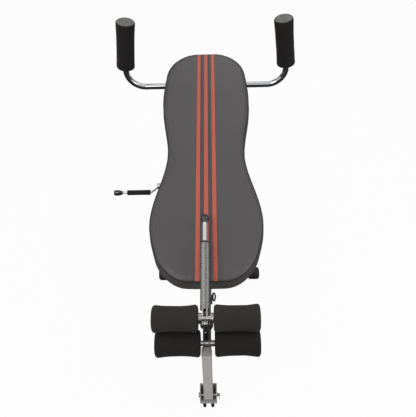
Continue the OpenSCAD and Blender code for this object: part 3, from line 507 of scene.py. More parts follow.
chrome = metal_of("chrome", srgb(190, 191, 194), 1400, 0.00001, 0.12)
rod_chrome = metal_of("polished_rod_chrome", srgb(220, 221, 224), 1400, 0.00001, 0.2)
zinc = metal_of("zinc_plate", srgb(168, 167, 165), 1100, 0.00003, 0.34)
gloss_black = finish_of("gloss_black_plastic", srgb(11, 11, 11), srgb(17, 17, 17), 500, 0.00002, 0.1,
                        rough_change=0.04, Coat_Weight=0.6, Coat_Roughness=0.04)
matt_black = finish_of("matt_black_plastic", srgb(22, 22, 22), srgb(32, 32, 32), 1300, 0.00008, 0.45)


def make_foam(name, dark, light):
    """Closed-cell foam: matt, with open pores of two sizes in its skin."""
    material = finish_of(name, dark, light, 900, 0.0005, 0.86, rough_change=0.05, broad_scale=14,
                         Sheen_Weight=0.04, Sheen_Roughness=0.5, Specular_IOR_Level=0.2)
    tree = material.node_tree
    place = tree.nodes["Texture Coordinate"].outputs["Object"]
    pores = add_node(tree, "ShaderNodeTexVoronoi", {"Vector": place, "Scale": 420})
    deep = add_node(tree, "ShaderNodeMapRange", {"Value": pores.outputs["Distance"], "From Max": 0.45})
    both = add_node(tree, "ShaderNodeMath", {0: deep.outputs[0], 1: tree.nodes["grain"].outputs["Height"]},
                    operation="ADD")
    tree.links.new(both.outputs[0], tree.nodes["Bump"].inputs["Height"])
    return material


foam = make_foam("black_foam", srgb(28, 26, 25), srgb(37, 35, 34))

dress(chrome, "brake_lever_rod")
dress(rubber, "brake_shoe")


def foam_profile(length, radius, waist, edge, bore, rows=26, flare=2.0, lid=0.0):
    """A foam sleeve's outline: round ends, a pinched middle, and a dished face round its bore.
    With a lid, its far end is closed by that much foam."""
    turns = [math.pi / 2 * row / 8 for row in range(9)]
    corner = [(edge * (1 - math.sin(turn)), radius - edge * (1 - math.cos(turn))) for turn in turns]
    left, right = corner[::-1], [(length - along, r) for along, r in corner]
    body = []
    for t in [row / rows for row in range(1, rows)]:
        pinch = (radius - waist) * (1 - abs(2 * t - 1) ** flare)
        body.append((edge + (length - 2 * edge) * t, radius - pinch))
    dish_deep, dish_shallow, dish_flat, dish_wide = 0.0035, 0.0006, 0.003, 0.008
    face = [(dish_deep, bore), (dish_deep, bore + dish_flat), (dish_shallow, bore + dish_wide)]
    if lid:
        rim, swell, sag = 0.004, 0.0004, 0.0016
        closed = [(length + swell, radius - edge - rim), (length - sag * 0.75, radius * 0.4),
                  (length - sag, 0.0), (length - lid, 0.0), (length - lid, bore)]
        return face + left + body + right + closed
    return face + left + body + right + [(length - along, r) for along, r in face[::-1]]


def soft_shift(seed, depth):
    """A slow unevenness, as foam has where hands and heels press it. The same each run."""
    def shift(along, radius, angle):
        swell = noise.noise(Vector((math.cos(angle) * 1.3 + seed, math.sin(angle) * 1.3, along * 22)))
        return radius + swell * depth * min(1, radius * 30)
    return shift


low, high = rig.box("brake_lever_grip")
grip_middle = (low + high) / 2
grip_r, waist_share, end_round, rod_bore = (high.z - low.z) / 2, 0.97, 0.003, 0.0042
form = turned(foam_profile(high.x - low.x, grip_r, grip_r * waist_share, end_round, rod_bore),
              (low.x, grip_middle.y, grip_middle.z), (1, 0, 0), 40, soft_shift(3, 0.0003))
brake_grip = make_piece("brake_lever_foam", form, foam, "brake_lever", "foam", ("brake_lever_grip",))
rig.padded(brake_grip, 0.9)

low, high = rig.box("brake_lever_knob")
knob_r, knob_len = (high.z - low.z) / 2, high.x - low.x
socket_r, socket_end = 0.0041, 0.010
knob = rounded([(0.0, 0.0, 0), (0.0, knob_r * 0.8, 0.004), (0.006, knob_r, 0.004), (0.024, knob_r, 0.004),
                (0.036, knob_r * 0.62, 0.003), (knob_len, knob_r * 0.52, 0.001), (knob_len, socket_r, 0),
                (socket_end, socket_r, 0), (socket_end, 0.0, 0)])
make_piece("brake_knob", turned(knob, (low.x, grip_middle.y, grip_middle.z), (1, 0, 0), 40), gloss_black,
           "brake_lever", "black_plastic", ("brake_lever_knob",))

# ---- Main beam and pivot: square steel tube in the base's grey, which tilts on a steel shaft.
# Saddles and hex bolts hold the bed's board to it.
tilt_place = Vector(joints["bed_tilt"]["pos_m"])
bed_along = -Vector(joints["boom_slide"]["axis"])
bed_up = Vector((1, 0, 0)).cross(bed_along)
beam_lift = 0.005
bed_axes = Matrix((Vector((1, 0, 0)), bed_along, bed_up)).transposed()
bed_frame = Matrix.Translation(tilt_place + bed_up * beam_lift) @ bed_axes.to_4x4()
bed_inverse = bed_frame.inverted()

dress(powder_coat, "main_beam", "beam_saddles", "brake_sector", "handle_clamps")
dress(zinc, "board_bolts", "pivot_shaft")
dress(matt_black, "beam_collar", "handle_plugs")

# ---- Bed: a 12 mm board under firm foam, in warm dark grey vinyl with a satin skin.
# The foam is fuller along its middle, and a cloth simulation swells it a little.
vinyl = finish_of("grey_vinyl", srgb(71, 68, 68), srgb(83, 80, 80), 520, 0.00022, 0.46, rough_change=0.06,
                  broad_scale=6, Sheen_Weight=0.05)
side_vinyl = finish_of("dark_side_vinyl", srgb(84, 81, 80), srgb(98, 95, 94), 520, 0.00022, 0.5,
                       broad_scale=7, Specular_IOR_Level=0.3)
piping_vinyl = finish_of("black_piping_vinyl", srgb(20, 20, 20), srgb(29, 28, 28), 620, 0.0002, 0.42)

pad_points = [bed_inverse @ v.co for v in frame["nodes"]["seat_pad"].data.vertices]
pad_low, pad_high = min(p.z for p in pad_points), max(p.z for p in pad_points)
pad_foot, pad_head = min(p.y for p in pad_points), max(p.y for p in pad_points)
right_edge = sorted({(round(p.y, 5), round(p.x, 5)) for p in pad_points if p.x > 0})


def pad_half(y):
    """Half the bed's width at a distance along it, from the CAD's outline."""
    return float(np.interp(y, [p[0] for p in right_edge], [p[1] for p in right_edge]))


foot_bow, bow_half, bow_reach = 0.006, 0.17, 0.06
outline_right = [Vector((x, y)) for y, x in right_edge]
outline = outline_right + [Vector((-p.x, p.y)) for p in reversed(outline_right)]


def spaced(points, step):
    """The same closed line with its points an even step apart."""
    ring = points + [points[0]]
    run = [0.0]
    for a, b in zip(ring, ring[1:]):
        run.append(run[-1] + (b - a).length)
    count = max(3, round(run[-1] / step))
    out, k = [], 0
    for i in range(count):
        at = run[-1] * i / count
        while k < len(run) - 2 and run[k + 1] < at:
            k += 1
        t = (at - run[k]) / max(run[k + 1] - run[k], 1e-9)
        out.append(ring[k].lerp(ring[k + 1], t))
    return out


def bowed(ring):
    """The line with its foot edge pushed out a little in the middle, as a stuffed edge is."""
    return [p - Vector((0, foot_bow * max(0, 1 - (p.x / bow_half) ** 2) *
                        max(0, 1 - (p.y - pad_foot) / bow_reach))) for p in ring]


def inset(ring, distance):
    """A closed line moved inwards."""
    out, n = [], len(ring)
    for i, p in enumerate(ring):
        way = (ring[(i + 1) % n] - ring[i - 1]).normalized()
        out.append(p + Vector((-way.y, way.x)) * distance)
    return out


pad_edge_r, pad_under_r, pad_crown, pad_swell = 0.010, 0.005, 0.0035, 0.0018
under_in, wall_from, wall_end, wall_rows, edge_rows = 0.012, 0.010, 0.008, 6, 6
ring = bowed(spaced(outline, 0.012))
pad_t = pad_high - pad_low
wall_step = (pad_t - pad_edge_r - wall_from - wall_end) / (wall_rows - 1)
levels = [(under_in, 0.0), (pad_under_r, 0.0), (pad_swell, pad_under_r)]
levels += [(pad_swell, wall_from + step * wall_step) for step in range(wall_rows)]
for step in range(1, edge_rows + 1):
    turn = math.pi / 2 * step / edge_rows
    levels.append((pad_swell + pad_edge_r * (1 - math.cos(turn)), pad_t - pad_crown - pad_swell
                   - pad_edge_r * (1 - math.sin(turn))))
points = [Vector((p.x, p.y, pad_low + height)) for distance, height in levels for p in inset(ring, distance)]
n = len(ring)
faces = grid_faces(len(levels), n) + [tuple(range(n)), tuple(range((len(levels) - 1) * n, len(levels) * n))]
pad = placed("bed_pad", outward_mesh("bed_pad", points, faces))


def apply_modifiers(piece):
    """The piece's mesh becomes what its modifiers make of it."""
    depsgraph = bpy.context.evaluated_depsgraph_get()
    result = bpy.data.meshes.new_from_object(piece.evaluated_get(depsgraph))
    piece.modifiers.clear()
    piece.data = result


remesh = pad.modifiers.new("even skin", "REMESH")
remesh.mode, remesh.voxel_size, remesh.use_smooth_shade = "VOXEL", 0.0057, True
apply_modifiers(pad)

# The crown: the foam is fuller along the middle and falls to its edges
crown_foot, crown_head, least_half = 0.11, 0.13, 0.05
for v in pad.data.vertices:
    half_here = max(pad_half(min(max(v.co.y, pad_foot), pad_head)), least_half)
    across = min(1, abs(v.co.x) / half_here)
    along = min(1, (v.co.y - pad_foot) / crown_foot, (pad_head - v.co.y) / crown_head)
    lift = pad_crown * (1 - across ** 3) * max(0, along) ** 0.5
    v.co.z += lift * max(0, (v.co.z - pad_low) / pad_t) ** 2
start = np.array([v.co for v in pad.data.vertices])

cloth_frames, swell_cap = 14, 0.003
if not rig.quick():
    held = pad.vertex_groups.new(name="board side")
    held.add([v.index for v in pad.data.vertices if v.co.z < pad_low + 0.006], 1.0, "ADD")
    cloth = pad.modifiers.new("swelling", "CLOTH")
    settings = cloth.settings
    settings.use_pressure, settings.uniform_pressure_force, settings.quality = True, 4.0, 4
    settings.effector_weights.gravity = 0
    settings.vertex_group_mass = held.name
    settings.tension_stiffness = settings.compression_stiffness = 40
    cloth.point_cache.frame_start, cloth.point_cache.frame_end = 1, cloth_frames
    scene = bpy.context.scene
    for number in range(1, cloth_frames + 1):
        scene.frame_set(number)
    apply_modifiers(pad)
    scene.frame_set(1)
    move = np.array([v.co for v in pad.data.vertices]) - start
    reach = np.linalg.norm(move, axis=1)
    move *= np.minimum(1, swell_cap / np.maximum(reach, 1e-9))[:, None]
    for v, place in zip(pad.data.vertices, start + move):
        v.co = place
    pad.vertex_groups.clear()
rise_cap, board_gap = 0.004, 0.0002
for v in pad.data.vertices:
    v.co.z = max(min(v.co.z, pad_high + rise_cap), pad_low + board_gap)

smooth = pad.modifiers.new("finer skin", "SUBSURF")
smooth.levels = smooth.render_levels = 1
apply_modifiers(pad)

pad.data.transform(bed_frame)
pad.data.polygons.foreach_set("use_smooth", [True] * len(pad.data.polygons))
pad.data.materials.clear()
pad.data.materials.append(vinyl)
pad.data.materials.append(side_vinyl)
settle(pad, "bed", "pad_vinyl", ("seat_pad",))
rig.padded(pad, 0.85)

# The bed's finished surface, for placing other pieces on it
pad_faces = [list(face.vertices) for face in pad.data.polygons]
pad_tree = BVHTree.FromPolygons([v.co for v in pad.data.vertices], pad_faces)


def tube_along(line, radius, sides=12):
    """Points and faces of a round bar that follows a closed line."""
    points, n = [], len(line)
    over = None
    for i, p in enumerate(line):
        way = (line[(i + 1) % n] - line[i - 1]).normalized()
        over = way.orthogonal().normalized() if over is None else (over - way * over.dot(way)).normalized()
        side = way.cross(over)
        for k in range(sides):
            turn = 2 * math.pi * k / sides
            points.append(p + (over * math.cos(turn) + side * math.sin(turn)) * radius)
    return points, grid_faces(n, sides, rows_close=True)


# Piping: a thin black vinyl cord, sewn in where the top panel meets the side wall.
piping_r, piping_out, ray_reach = 0.0026, 0.3, 0.05
line = []
piping_ring = bowed(spaced(outline, 0.009))
for p, q in zip(piping_ring, inset(piping_ring, 0.02)):
    outwards = Vector((p.x - q.x, p.y - q.y, 0)).normalized()
    slant = outwards + Vector((0, 0, 1))
    corner = Vector((p.x, p.y, pad_high - pad_crown)) - slant * pad_edge_r
    hit = pad_tree.ray_cast(bed_frame @ (corner + slant * ray_reach), bed_axes @ -slant.normalized())
    line.append(hit[0] + hit[1] * piping_r * piping_out)
make_piece("bed_piping", tube_along(line, piping_r, sides=10), piping_vinyl, "bed", "pad_vinyl")

# Below the piping the cover is the dark side vinyl
piping_near, lowest_wall = 0.03, 0.02
piping_places = KDTree(len(line))
for i, p in enumerate(line):
    flat = bed_inverse @ p
    piping_places.insert((flat.x, flat.y, 0), i)
piping_places.balance()
piping_height = [(bed_inverse @ p).z for p in line]
for face in pad.data.polygons:
    centre = bed_inverse @ face.center
    _, index, apart = piping_places.find((centre.x, centre.y, 0))
    below_piping = apart < piping_near and centre.z < piping_height[index]
    face.material_index = int(below_piping or centre.z < pad_low + lowest_wall)

# ---- Three coral stripes: coral and slate vinyl strips, sewn side by side into the bed's top panel.
# They end under the piping at both ends, and thin foam lifts each strip a little between its seams.
middle = bed_inverse @ on_surface(*image_points["middle_stripe"], pad_tree)[0]
beside = bed_inverse @ on_surface(*image_points["right_stripe"], pad_tree)[0]
stripe_pitch = abs(beside.x - middle.x)
coral_share = 0.545
coral_w = stripe_pitch * coral_share
slate_w = stripe_pitch - coral_w
strip_widths = (coral_w, slate_w, coral_w, slate_w, coral_w)
panel_half = sum(strip_widths) / 2
strip_lift, seam_dip, columns_each = 0.0011, 0.0011, 10

across, seams = [], []
at = -panel_half
for number, width in enumerate(strip_widths):
    seams.append(len(across))
    across += [(at + width * i / columns_each, i / columns_each) for i in range(columns_each)]
    at += width
seams.append(len(across))
across.append((panel_half, 0.0))


def panel_path():
    """Places along the bed's top, each with the way from outside to the pad."""
    out, tuck_r, end_gap, row_step = [], 0.012, 0.014, 0.005
    for sign, end in ((-1, pad_foot), (1, pad_head)):
        bow = foot_bow if sign < 0 else 0
        centre = Vector((0, end - sign * tuck_r - bow, pad_high - pad_crown - tuck_r))
        turns = np.radians(np.linspace(48, 84, 5))
        ways = [Vector((0, sign * math.cos(turn), math.sin(turn))) for turn in turns]
        out.append([(centre + way * (tuck_r + ray_reach), -way) for way in ways])
    straight = [(Vector((0, y, pad_high + ray_reach)), Vector((0, 0, -1)))
                for y in np.arange(pad_foot + end_gap, pad_head - end_gap, row_step)]
    return out[0] + straight + out[1][::-1]


path = panel_path()
panel_lift, pucker_size = 0.0012, 0.2
points = []
for number, (start_at, way) in enumerate(path):
    for x, t in across:
        hit = pad_tree.ray_cast(bed_frame @ Vector((x, start_at.y, start_at.z)), bed_axes @ way)
        swell = math.sin(math.pi * t) ** 0.7
        pucker = 1 + pucker_size * noise.noise(Vector((x * 30, number * 0.55, 2.0)))
        height = -seam_dip * (1 - swell) + strip_lift * swell * pucker
        points.append(hit[0] - (bed_axes @ way) * (height + panel_lift))
row = len(across)
faces = grid_faces(len(path), row, columns_close=False)
thread_lift = 0.0002
seam_lines = [[points[r * row + i] + bed_up * thread_lift for r in range(len(path))] for i in seams]


def stripe_vinyl(name, dark, light):
    """The strips' vinyl: one skin in two colours."""
    return finish_of(name, dark, light, 520, 0.0002, 0.44, rough_change=0.05, broad_scale=6,
                     Sheen_Weight=0.05)


coral_vinyl = stripe_vinyl("coral_vinyl", srgb(184, 85, 66), srgb(197, 96, 77))
slate_vinyl = stripe_vinyl("slate_vinyl", srgb(58, 60, 63), srgb(68, 70, 74))
stripes = make_piece("striped_panel", (points, faces), coral_vinyl, "bed", "pad_vinyl")
stripes.data.materials.append(slate_vinyl)
for face in stripes.data.polygons:
    x = (bed_inverse @ face.center).x
    edge, index = -panel_half, 0
    while index < 4 and x > edge + strip_widths[index]:
        edge, index = edge + strip_widths[index], index + 1
    face.material_index = index % 2
panel_thick = 0.0035
thick = stripes.modifiers.new("panel foam", "SOLIDIFY")
thick.thickness, thick.offset = panel_thick, -1
apply_modifiers(stripes)
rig.padded(stripes, 0.8)


# Stitches: short bars of thread, set by Geometry Nodes along the seams. The same tree sets
# the board's staples and the tie link's thread further on.
def make_row_tree():
    """Geometry Nodes: round bars of one size set along a line, at a fixed spacing."""
    tree = bpy.data.node_groups.new("row of bars", "GeometryNodeTree")
    add_sockets(tree, "INPUT", (("Geometry", "Geometry"), ("Spacing", "Float"), ("Length", "Float"),
                                ("Radius", "Float"), ("Sides", "Int"), ("Material", "Material")))
    add_sockets(tree, "OUTPUT", (("Geometry", "Geometry"),))
    given = tree.nodes.new("NodeGroupInput").outputs
    curve = add_node(tree, "GeometryNodeMeshToCurve", {0: given["Geometry"]}).outputs[0]
    places = add_node(tree, "GeometryNodeCurveToPoints", {0: curve, "Length": given["Spacing"]},
                      mode="LENGTH").outputs
    bar = add_node(tree, "GeometryNodeMeshCylinder", {
        "Vertices": given["Sides"], "Radius": given["Radius"], "Depth": given["Length"]}).outputs["Mesh"]
    rows = add_node(tree, "GeometryNodeInstanceOnPoints", {
        "Points": places["Points"], "Rotation": places["Rotation"], "Instance": bar}).outputs[0]
    real = add_node(tree, "GeometryNodeRealizeInstances", {0: rows}).outputs[0]
    paint = add_node(tree, "GeometryNodeSetMaterial", {0: real, "Material": given["Material"]}).outputs[0]
    add_node(tree, "NodeGroupOutput", {"Geometry": paint})
    return tree


row_tree = make_row_tree()


def bar_rows(name, lines, spacing, length, radius, material, body, slot, sides=6, closed=False):
    """Small bars of one length and radius along some lines, as one plain mesh on one body."""
    mesh = bpy.data.meshes.new(name)
    points, edges = [], []
    for line in lines:
        first = len(points)
        points += [tuple(p) for p in line]
        edges += [(i, i + 1) for i in range(first, len(points) - 1)]
        if closed:
            edges.append((len(points) - 1, first))
    mesh.from_pydata(points, edges, [])
    piece = placed(name, mesh)
    setter = piece.modifiers.new("bars", "NODES")
    setter.node_group = row_tree
    given = {"Spacing": spacing, "Length": length, "Radius": radius, "Sides": sides, "Material": material}
    for socket in row_tree.interface.items_tree:
        if socket.in_out == "INPUT" and socket.name in given:
            setter[socket.identifier] = given[socket.name]
    apply_modifiers(piece)
    settle(piece, body, slot)
    return piece


thread = finish_of("grey_thread", srgb(52, 51, 50), srgb(66, 65, 64), 3000, 0.00005, 0.6)
stitch_pitch, stitch_len, stitch_r = 0.006, 0.0042, 0.00045
stitches = (stitch_pitch, stitch_len, stitch_r, thread, "bed", "pad_vinyl")
bar_rows("stripe_stitches", seam_lines, *stitches)
border, border_in = [], 0.017
for p in inset(bowed(spaced(outline, 0.012)), border_in):
    hit = pad_tree.ray_cast(bed_frame @ Vector((p.x, p.y, pad_high + ray_reach)), -bed_up)
    border.append(hit[0] + hit[1] * thread_lift)
bar_rows("border_stitches", [border], *stitches, closed=True)

# ---- Board under the foam: plywood in black felt. The side vinyl is pulled round its edge,
# folded under and stapled.
board_felt = finish_of("black_felt_board", srgb(24, 23, 22), srgb(36, 35, 34), 1500, 0.0004, 0.92)
dress(board_felt, "seat_board")
board_points = [bed_inverse @ v.co for v in frame["nodes"]["seat_board"].data.vertices]
board_low = min(p.z for p in board_points)
# Each level of the fold: how far in from the bed's outline, and how far above the board's underside
wrap_levels = [(0.0012, pad_low - board_low + 0.008), (0.0010, 0.006), (0.0009, 0.002), (0.0022, -0.0008),
               (0.006, -0.0012), (0.016, -0.0012), (0.030, -0.0012)]
wrap_ring, first_creased, crease = bowed(spaced(outline, 0.007)), 4, 0.0007
points = []
for level, (distance, height) in enumerate(wrap_levels):
    for i, p in enumerate(inset(wrap_ring, distance)):
        fold = abs(crease * noise.noise(Vector((i * 0.9, 5.0, 1.0)))) if level >= first_creased else 0.0
        points.append(bed_frame @ Vector((p.x, p.y, board_low + height - fold)))
fold_form = (points, grid_faces(len(wrap_levels), len(wrap_ring)))
wrap = make_piece("bed_cover_fold", fold_form, side_vinyl, "bed", "pad_vinyl")
vinyl_thick = 0.0007
thick = wrap.modifiers.new("vinyl", "SOLIDIFY")
thick.thickness, thick.offset = vinyl_thick, 1
apply_modifiers(wrap)
staple_in, staple_drop, staple_pitch, staple_len, staple_r = 0.024, 0.0026, 0.036, 0.011, 0.0006
staple_line = [bed_frame @ Vector((p.x, p.y, board_low - staple_drop))
               for p in inset(spaced(outline, 0.012), staple_in)]
bar_rows("board_staples", [staple_line], staple_pitch, staple_len, staple_r, zinc, "bed", "steel",
         closed=True)

# ---- Handles: bent chromed tube under the head end, with waisted black foam grips.
# The tube is clamped under the board, and each grip's top is closed by a foam end, painted paler as painted light from
# the lamps above.
dress(chrome, "handle_bar")
post_lean_back, post_lean_in = math.radians(11), math.radians(8)
grip_lid, grip_rise, grip_edge, grip_bore, grip_waist = 0.009, 0.005, 0.009, 0.0143, 0.955
# The foam end's paler copy of the black foam is painted light on its top face
painted_light_foam_lid = make_foam("foam_end_painted_light", srgb(78, 78, 77), srgb(146, 145, 143))
painted_light_foam_lid.node_tree.nodes["grain"].inputs["Broad scale"].default_value = 60
for side, sign in (("left", -1), ("right", 1)):
    node = f"{side}_hand_grip"
    lean = Matrix.Rotation(-post_lean_back, 3, "X")
    axis = bed_axes @ lean @ Vector((-sign * math.sin(post_lean_in), 0, math.cos(post_lean_in)))
    points = [v.co for v in frame["nodes"][node].data.vertices]
    runs = [p.dot(axis) for p in points]
    length = max(runs) - min(runs) - grip_rise
    low_ring = [p for p, run in zip(points, runs) if run < min(runs) + 1e-4]
    start_at = sum(low_ring, Vector()) / len(low_ring) + axis * grip_rise
    big = max((p - start_at - axis * (p - start_at).dot(axis)).length for p in points)
    profile = foam_profile(length, big, big * grip_waist, grip_edge, grip_bore, rows=30, flare=2.2,
                           lid=grip_lid)
    form = turned(profile, start_at, axis, 72, soft_shift(11 + sign, 0.0009))
    grip = make_piece(f"hand_grip_{side}_foam", form, foam, "bed", "foam", (node,))
    grip.data.materials.append(painted_light_foam_lid)
    # Faces at the grip's top that look along its axis take the painted light
    for face in grip.data.polygons:
        away = face.center - start_at - axis * length
        face.material_index = int(face.normal.dot(axis) > 0.8 and abs(away.dot(axis)) < 0.004)
    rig.padded(grip, 0.9)

# ---- Height pin: a zinc-plated spring pin through the beam's mouth, which locks the boom's length.
# It is pulled by a black moulded loop, with a steel eyelet inside it.
dress(zinc, "pull_pin")
low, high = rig.box("pull_pin_loop")
loop_middle = (low + high) / 2
loop_long, loop_wide = 0.054, 0.0142
bow_r = (loop_long ** 2 / 4 + loop_wide ** 2) / (2 * loop_wide)


def d_line(margin, corner_r):
    """The D of the pull ring, that much inside its outer edge: points of (out, along)."""
    flat, bow = margin, bow_r - margin
    centre = loop_wide - bow_r
    corner_x = flat + corner_r
    corner_y = math.sqrt((bow - corner_r) ** 2 - (corner_x - centre) ** 2)
    lean = math.atan2(corner_y, corner_x - centre)
    out = [(centre + bow * math.cos(a), bow * math.sin(a)) for a in np.linspace(-lean, lean, 24)]
    out += [(corner_x + corner_r * math.cos(a), corner_y + corner_r * math.sin(a))
            for a in np.linspace(lean, math.pi, 8)[1:]]
    return out + [(x, -y) for x, y in reversed(out[24:])]


for name, margin, corner_r, thick_r, finish, slot in (
        ("pull_ring", 0.0022, 0.0035, 0.0027, matt_black, "black_plastic"),
        ("pull_ring_eyelet", 0.0048, 0.0012, 0.0009, zinc, "steel")):
    ring_line = [Vector((low.x + x, loop_middle.y, loop_middle.z)) + bed_along * y
                 for x, y in d_line(margin, corner_r)]
    make_piece(name, tube_along(ring_line, thick_r), finish, "pull_pin", slot,
               ("pull_pin_loop",) if name == "pull_ring" else ())

# ---- Boom and ankle unit: painted and plated steel. The boom slides in the beam, and it carries the
# axles, the arms with their tie link, and the foot post with its rocking bracket and rubber pads.
post_paint = finish_of("light_grey_paint", srgb(184, 180, 178), srgb(202, 197, 195), 620, 0.0001, 0.4)
cap_plastic = finish_of("grey_cap_plastic", srgb(146, 142, 140), srgb(160, 157, 154), 1200, 0.00012, 0.55)
bracket_paint = finish_of("mid_grey_bracket_paint", srgb(156, 154, 152), srgb(184, 182, 179), 640, 0.00012,
                          0.36)
dress(powder_coat, "boom_tube", "ankle_bracket")
dress(bracket_paint, "foot_bracket")
dress(post_paint, "foot_post")
dress(cap_plastic, "post_cap")
dress(chrome, "rear_axle", "front_axle")
dress(rod_chrome, "lever_rod", "tie_link")
dress(zinc, "rear_axle_spacer", "arm_pivot_bolts", "foot_bolt", "foot_pin_ring", "ankle_arms", "lever_clevis")
dress(rubber, "foot_pads")
dress(matt_black, "lever_collar", "front_bush_left", "front_bush_right", "rear_bush_left", "rear_bush_right")

# The tie link's rod is a threaded one between its eyes, so that its length can be set
link_points = [v.co for v in frame["nodes"]["tie_link"].data.vertices]
link_from = Vector(joints["tie_link"]["pos_m"])
link_from.x = sum(p.x for p in link_points) / len(link_points)
link_reach = max((p - link_from).length for p in link_points)
link_tip = [p for p in link_points if (p - link_from).length > link_reach - 0.0006]
link_way = sum(link_tip, Vector()) / len(link_tip) - link_from
link_way.x = 0
link_way.normalize()
eye_reach, thread_pitch, thread_r = 0.0095, 0.00125, 0.00285
thread_line = [link_from + link_way * reach for reach in (eye_reach, link_reach - eye_reach * 1.9)]
bar_rows("tie_link_thread", [thread_line], thread_pitch, thread_pitch / 2, thread_r, rod_chrome, "link",
         "steel", sides=20)

# The post cap's lower rim is a thin rolled lip round the post
cap_low, cap_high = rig.box("post_cap")
lip_r, lip_corner = 0.0011, 0.005
lip_out = (cap_high - cap_low) / 2
lip_middle = Vector((cap_low.x + lip_out.x, cap_low.y + lip_out.y, cap_low.z + lip_r))
lip_line = []
for number, (sx, sy) in enumerate(((1, 1), (-1, 1), (-1, -1), (1, -1))):
    corner = lip_middle + Vector((sx * (lip_out.x - lip_corner), sy * (lip_out.y - lip_corner), 0))
    for step in range(7):
        turn = math.pi / 2 * (number + step / 6)
        lip_line.append(corner + Vector((math.cos(turn), math.sin(turn), 0)) * lip_corner)
make_piece("post_cap_lip", tube_along(lip_line, lip_r, sides=8), post_paint, "boom", "grey_plastic")

# ---- Rollers: four black foam sleeves on plastic bushes, pinched a little at their middles.
# The front pair, which the shins press on, takes a paler copy of the foam: painted light, for the light that falls on
# them more than on the rear pair.
painted_light_foam = make_foam("black_foam_painted_light", srgb(43, 41, 39), srgb(54, 51, 48))
roller_waist, roller_edge, roller_bore = 0.0045, 0.011, 0.0138
for row_name, skin, row_seed in (("front", painted_light_foam, 20), ("rear", foam, 30)):
    for side, side_seed in (("left", 1), ("right", 2)):
        node = f"{row_name}_roller_{side}"
        low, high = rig.box(node)
        middle_of = (low + high) / 2
        radius = (high.z - low.z) / 2
        profile = foam_profile(high.x - low.x, radius, radius - roller_waist, roller_edge, roller_bore,
                               rows=34)
        form = turned(profile, (low.x, middle_of.y, middle_of.z), (1, 0, 0), 88,
                      soft_shift(row_seed + side_seed, 0.0012))
        roller = make_piece(f"{node}_foam", form, skin, node, "foam", (node,))
        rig.padded(roller, 0.9)

# ---- Clamp lever: a steel tube in hammered grey paint with a black collar at its mouth.
# A polished rod slides in it and ends in a gloss black ball, which the hand pulls.
hammered = finish_of("hammered_grey_paint", srgb(90, 90, 89), srgb(206, 205, 202), 190, 0.0013, 0.28,
                     rough_change=0.1, broad_scale=170, Metallic=0.6)
# Painted shade in the paint: long bands of tone across the tube, darker at its two edges and along its shallow pressed
# flute right of its middle. The tube itself is round
tree = hammered.node_tree
tube_low, tube_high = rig.box("lever_tube")
tones = ((0.0, 0.45), (0.16, 0.62), (0.28, 1.0), (0.5, 0.92),
         (0.6, 0.42), (0.72, 0.6), (0.88, 0.95), (1.0, 0.5))
apart = add_node(tree, "ShaderNodeSeparateXYZ", {0: tree.nodes["Texture Coordinate"].outputs["Object"]})
across_tube = add_node(tree, "ShaderNodeMapRange", {"Value": apart.outputs["X"], "From Min": tube_low.x,
                                                    "From Max": tube_high.x})
painted_shade_bands = add_node(tree, "ShaderNodeValToRGB", {0: across_tube.outputs[0]})
for number, (place_at, tone) in enumerate(tones):
    stops = painted_shade_bands.color_ramp.elements
    stop = stops[0] if number == 0 else stops.new(place_at)
    stop.position, stop.color = place_at, (tone, tone, tone, 1)
stops.remove(stops[-1])
# The painted shade bands darken the paint's own tone
paint_tone = tree.nodes["grain"].outputs["Color"]
shade = add_node(tree, "ShaderNodeMix", {0: 1.0, 6: paint_tone, 7: painted_shade_bands.outputs[0]}, data_type="RGBA",
                 blend_type="MULTIPLY")
tree.links.new(shade.outputs[2], tree.nodes["Principled BSDF"].inputs["Base Color"])
dress(hammered, "lever_tube")
low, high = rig.box("ball_knob")
ball_middle = (low + high) / 2
ball_r = (high.x - low.x) / 2
# The ball has a short neck round the rod
rod_r, rod_fit, neck_out = 0.008, 0.0001, 0.0035
neck_end = -ball_r - neck_out
neck = [(neck_end, rod_r + rod_fit), (neck_end, rod_r + 0.0018), (neck_end + 0.001, rod_r + 0.0028),
        (-ball_r * 0.84, rod_r + 0.0034)]
arc = [(-math.cos(turn) * ball_r, math.sin(turn) * ball_r) for turn in np.linspace(0, math.pi, 33)]
ball_outline = neck + [p for p in arc if p[0] > -ball_r * 0.76] + [(0.0, 0.0), (0.0, rod_r + rod_fit)]
make_piece("ball", turned(ball_outline, ball_middle, bed_along, 56), gloss_black, "extension",
           "black_plastic", ("ball_knob",))

# ---- The photograph's points against the finished pieces, and the two boxes. Nothing stops on them.
depsgraph = bpy.context.evaluated_depsgraph_get()
bpy.context.view_layer.update()
all_points, all_faces, owners = [], [], []
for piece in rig.pieces():
    mesh = piece.evaluated_get(depsgraph).to_mesh()
    base = len(all_points)
    all_points += [piece.matrix_world @ v.co for v in mesh.vertices]
    all_faces += [[base + i for i in face.vertices] for face in mesh.polygons]
    owners.append((piece.name, base, len(all_points)))
scene_tree = BVHTree.FromPolygons(all_points, all_faces)
sight_margin, row_reach = 0.002, 3


def shows(point):
    """True if nothing stands between the camera and a point."""
    way = point - camera_place
    hit = scene_tree.ray_cast(camera_place, way.normalized())
    return hit[0] is None or hit[3] > way.length - sight_margin


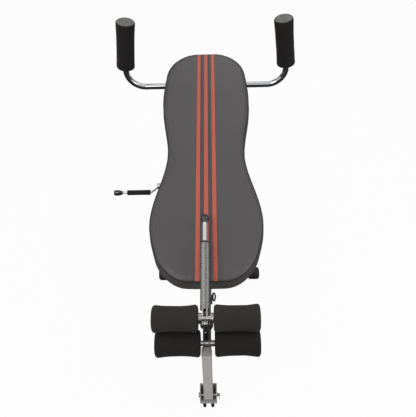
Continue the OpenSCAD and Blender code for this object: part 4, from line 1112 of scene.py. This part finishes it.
def shown_places(names, most=1500):
    """Where the points of some pieces that aren't hidden show in the photograph's frame."""
    out = []
    for name, first, last in owners:
        if name in names:
            step = max(1, (last - first) // most)
            out += [image_place(all_points[i]) for i in range(first, last, step) if shows(all_points[i])]
    return out


def middle_of_places(places):
    """The middle of the smallest upright box round some places."""
    xs, ys = [p[0] for p in places], [p[1] for p in places]
    return ((min(xs) + max(xs)) / 2, (min(ys) + max(ys)) / 2)


everything = shown_places([name for name, _, _ in owners], 2500)
found = {"left": min(p[0] for p in everything), "right": max(p[0] for p in everything),
         "top": min(p[1] for p in everything), "bottom": max(p[1] for p in everything)}
piece_of = {"left_hand_grip": "hand_grip_left_foam", "right_hand_grip": "hand_grip_right_foam",
            "front_roller_left": "front_roller_left_foam", "front_roller_right": "front_roller_right_foam",
            "ball_knob": "ball", "brake_lever_grip": "brake_lever_foam", "brake_lever_knob": "brake_knob",
            "pull_pin_loop": "pull_ring", "post_cap": "post_cap", "foot_pads": "foot_pads"}
for name, piece_name in piece_of.items():
    places = shown_places([piece_name])
    if places:
        found[name] = middle_of_places(places)
bed_places = shown_places(["bed_pad"], 40000)
found["bed_foot_edge"] = (image_points["bed_foot_edge"][0], max(p[1] for p in bed_places))
found["bed_head_edge"] = (image_points["bed_head_edge"][0], min(p[1] for p in bed_places))
for name, pick_side in (("bed_left_hip", min), ("bed_right_hip", max)):
    row_y = image_points[name][1]
    found[name] = (pick_side(p[0] for p in bed_places if abs(p[1] - row_y) < row_reach), row_y)
for name, x in (("middle_stripe", 0.0), ("right_stripe", stripe_pitch)):
    found[name] = image_place(bed_frame @ Vector((x, middle.y, middle.z)))
report = {}
for name, target in image_points.items():
    if name in found:
        got = found[name]
        if isinstance(target, tuple):
            report[name] = [round(got[0] - target[0], 2), round(got[1] - target[1], 2)]
        else:
            report[name] = round(got - target, 2)
with open("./points.json", "w") as file:
    json.dump(report, file, indent=1)

new_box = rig.bounds()
with open("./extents.json", "w") as file:
    json.dump({"cad": [list(cad_box[0]), list(cad_box[1])],
               "visual": [list(new_box[0]), list(new_box[1])]}, file)
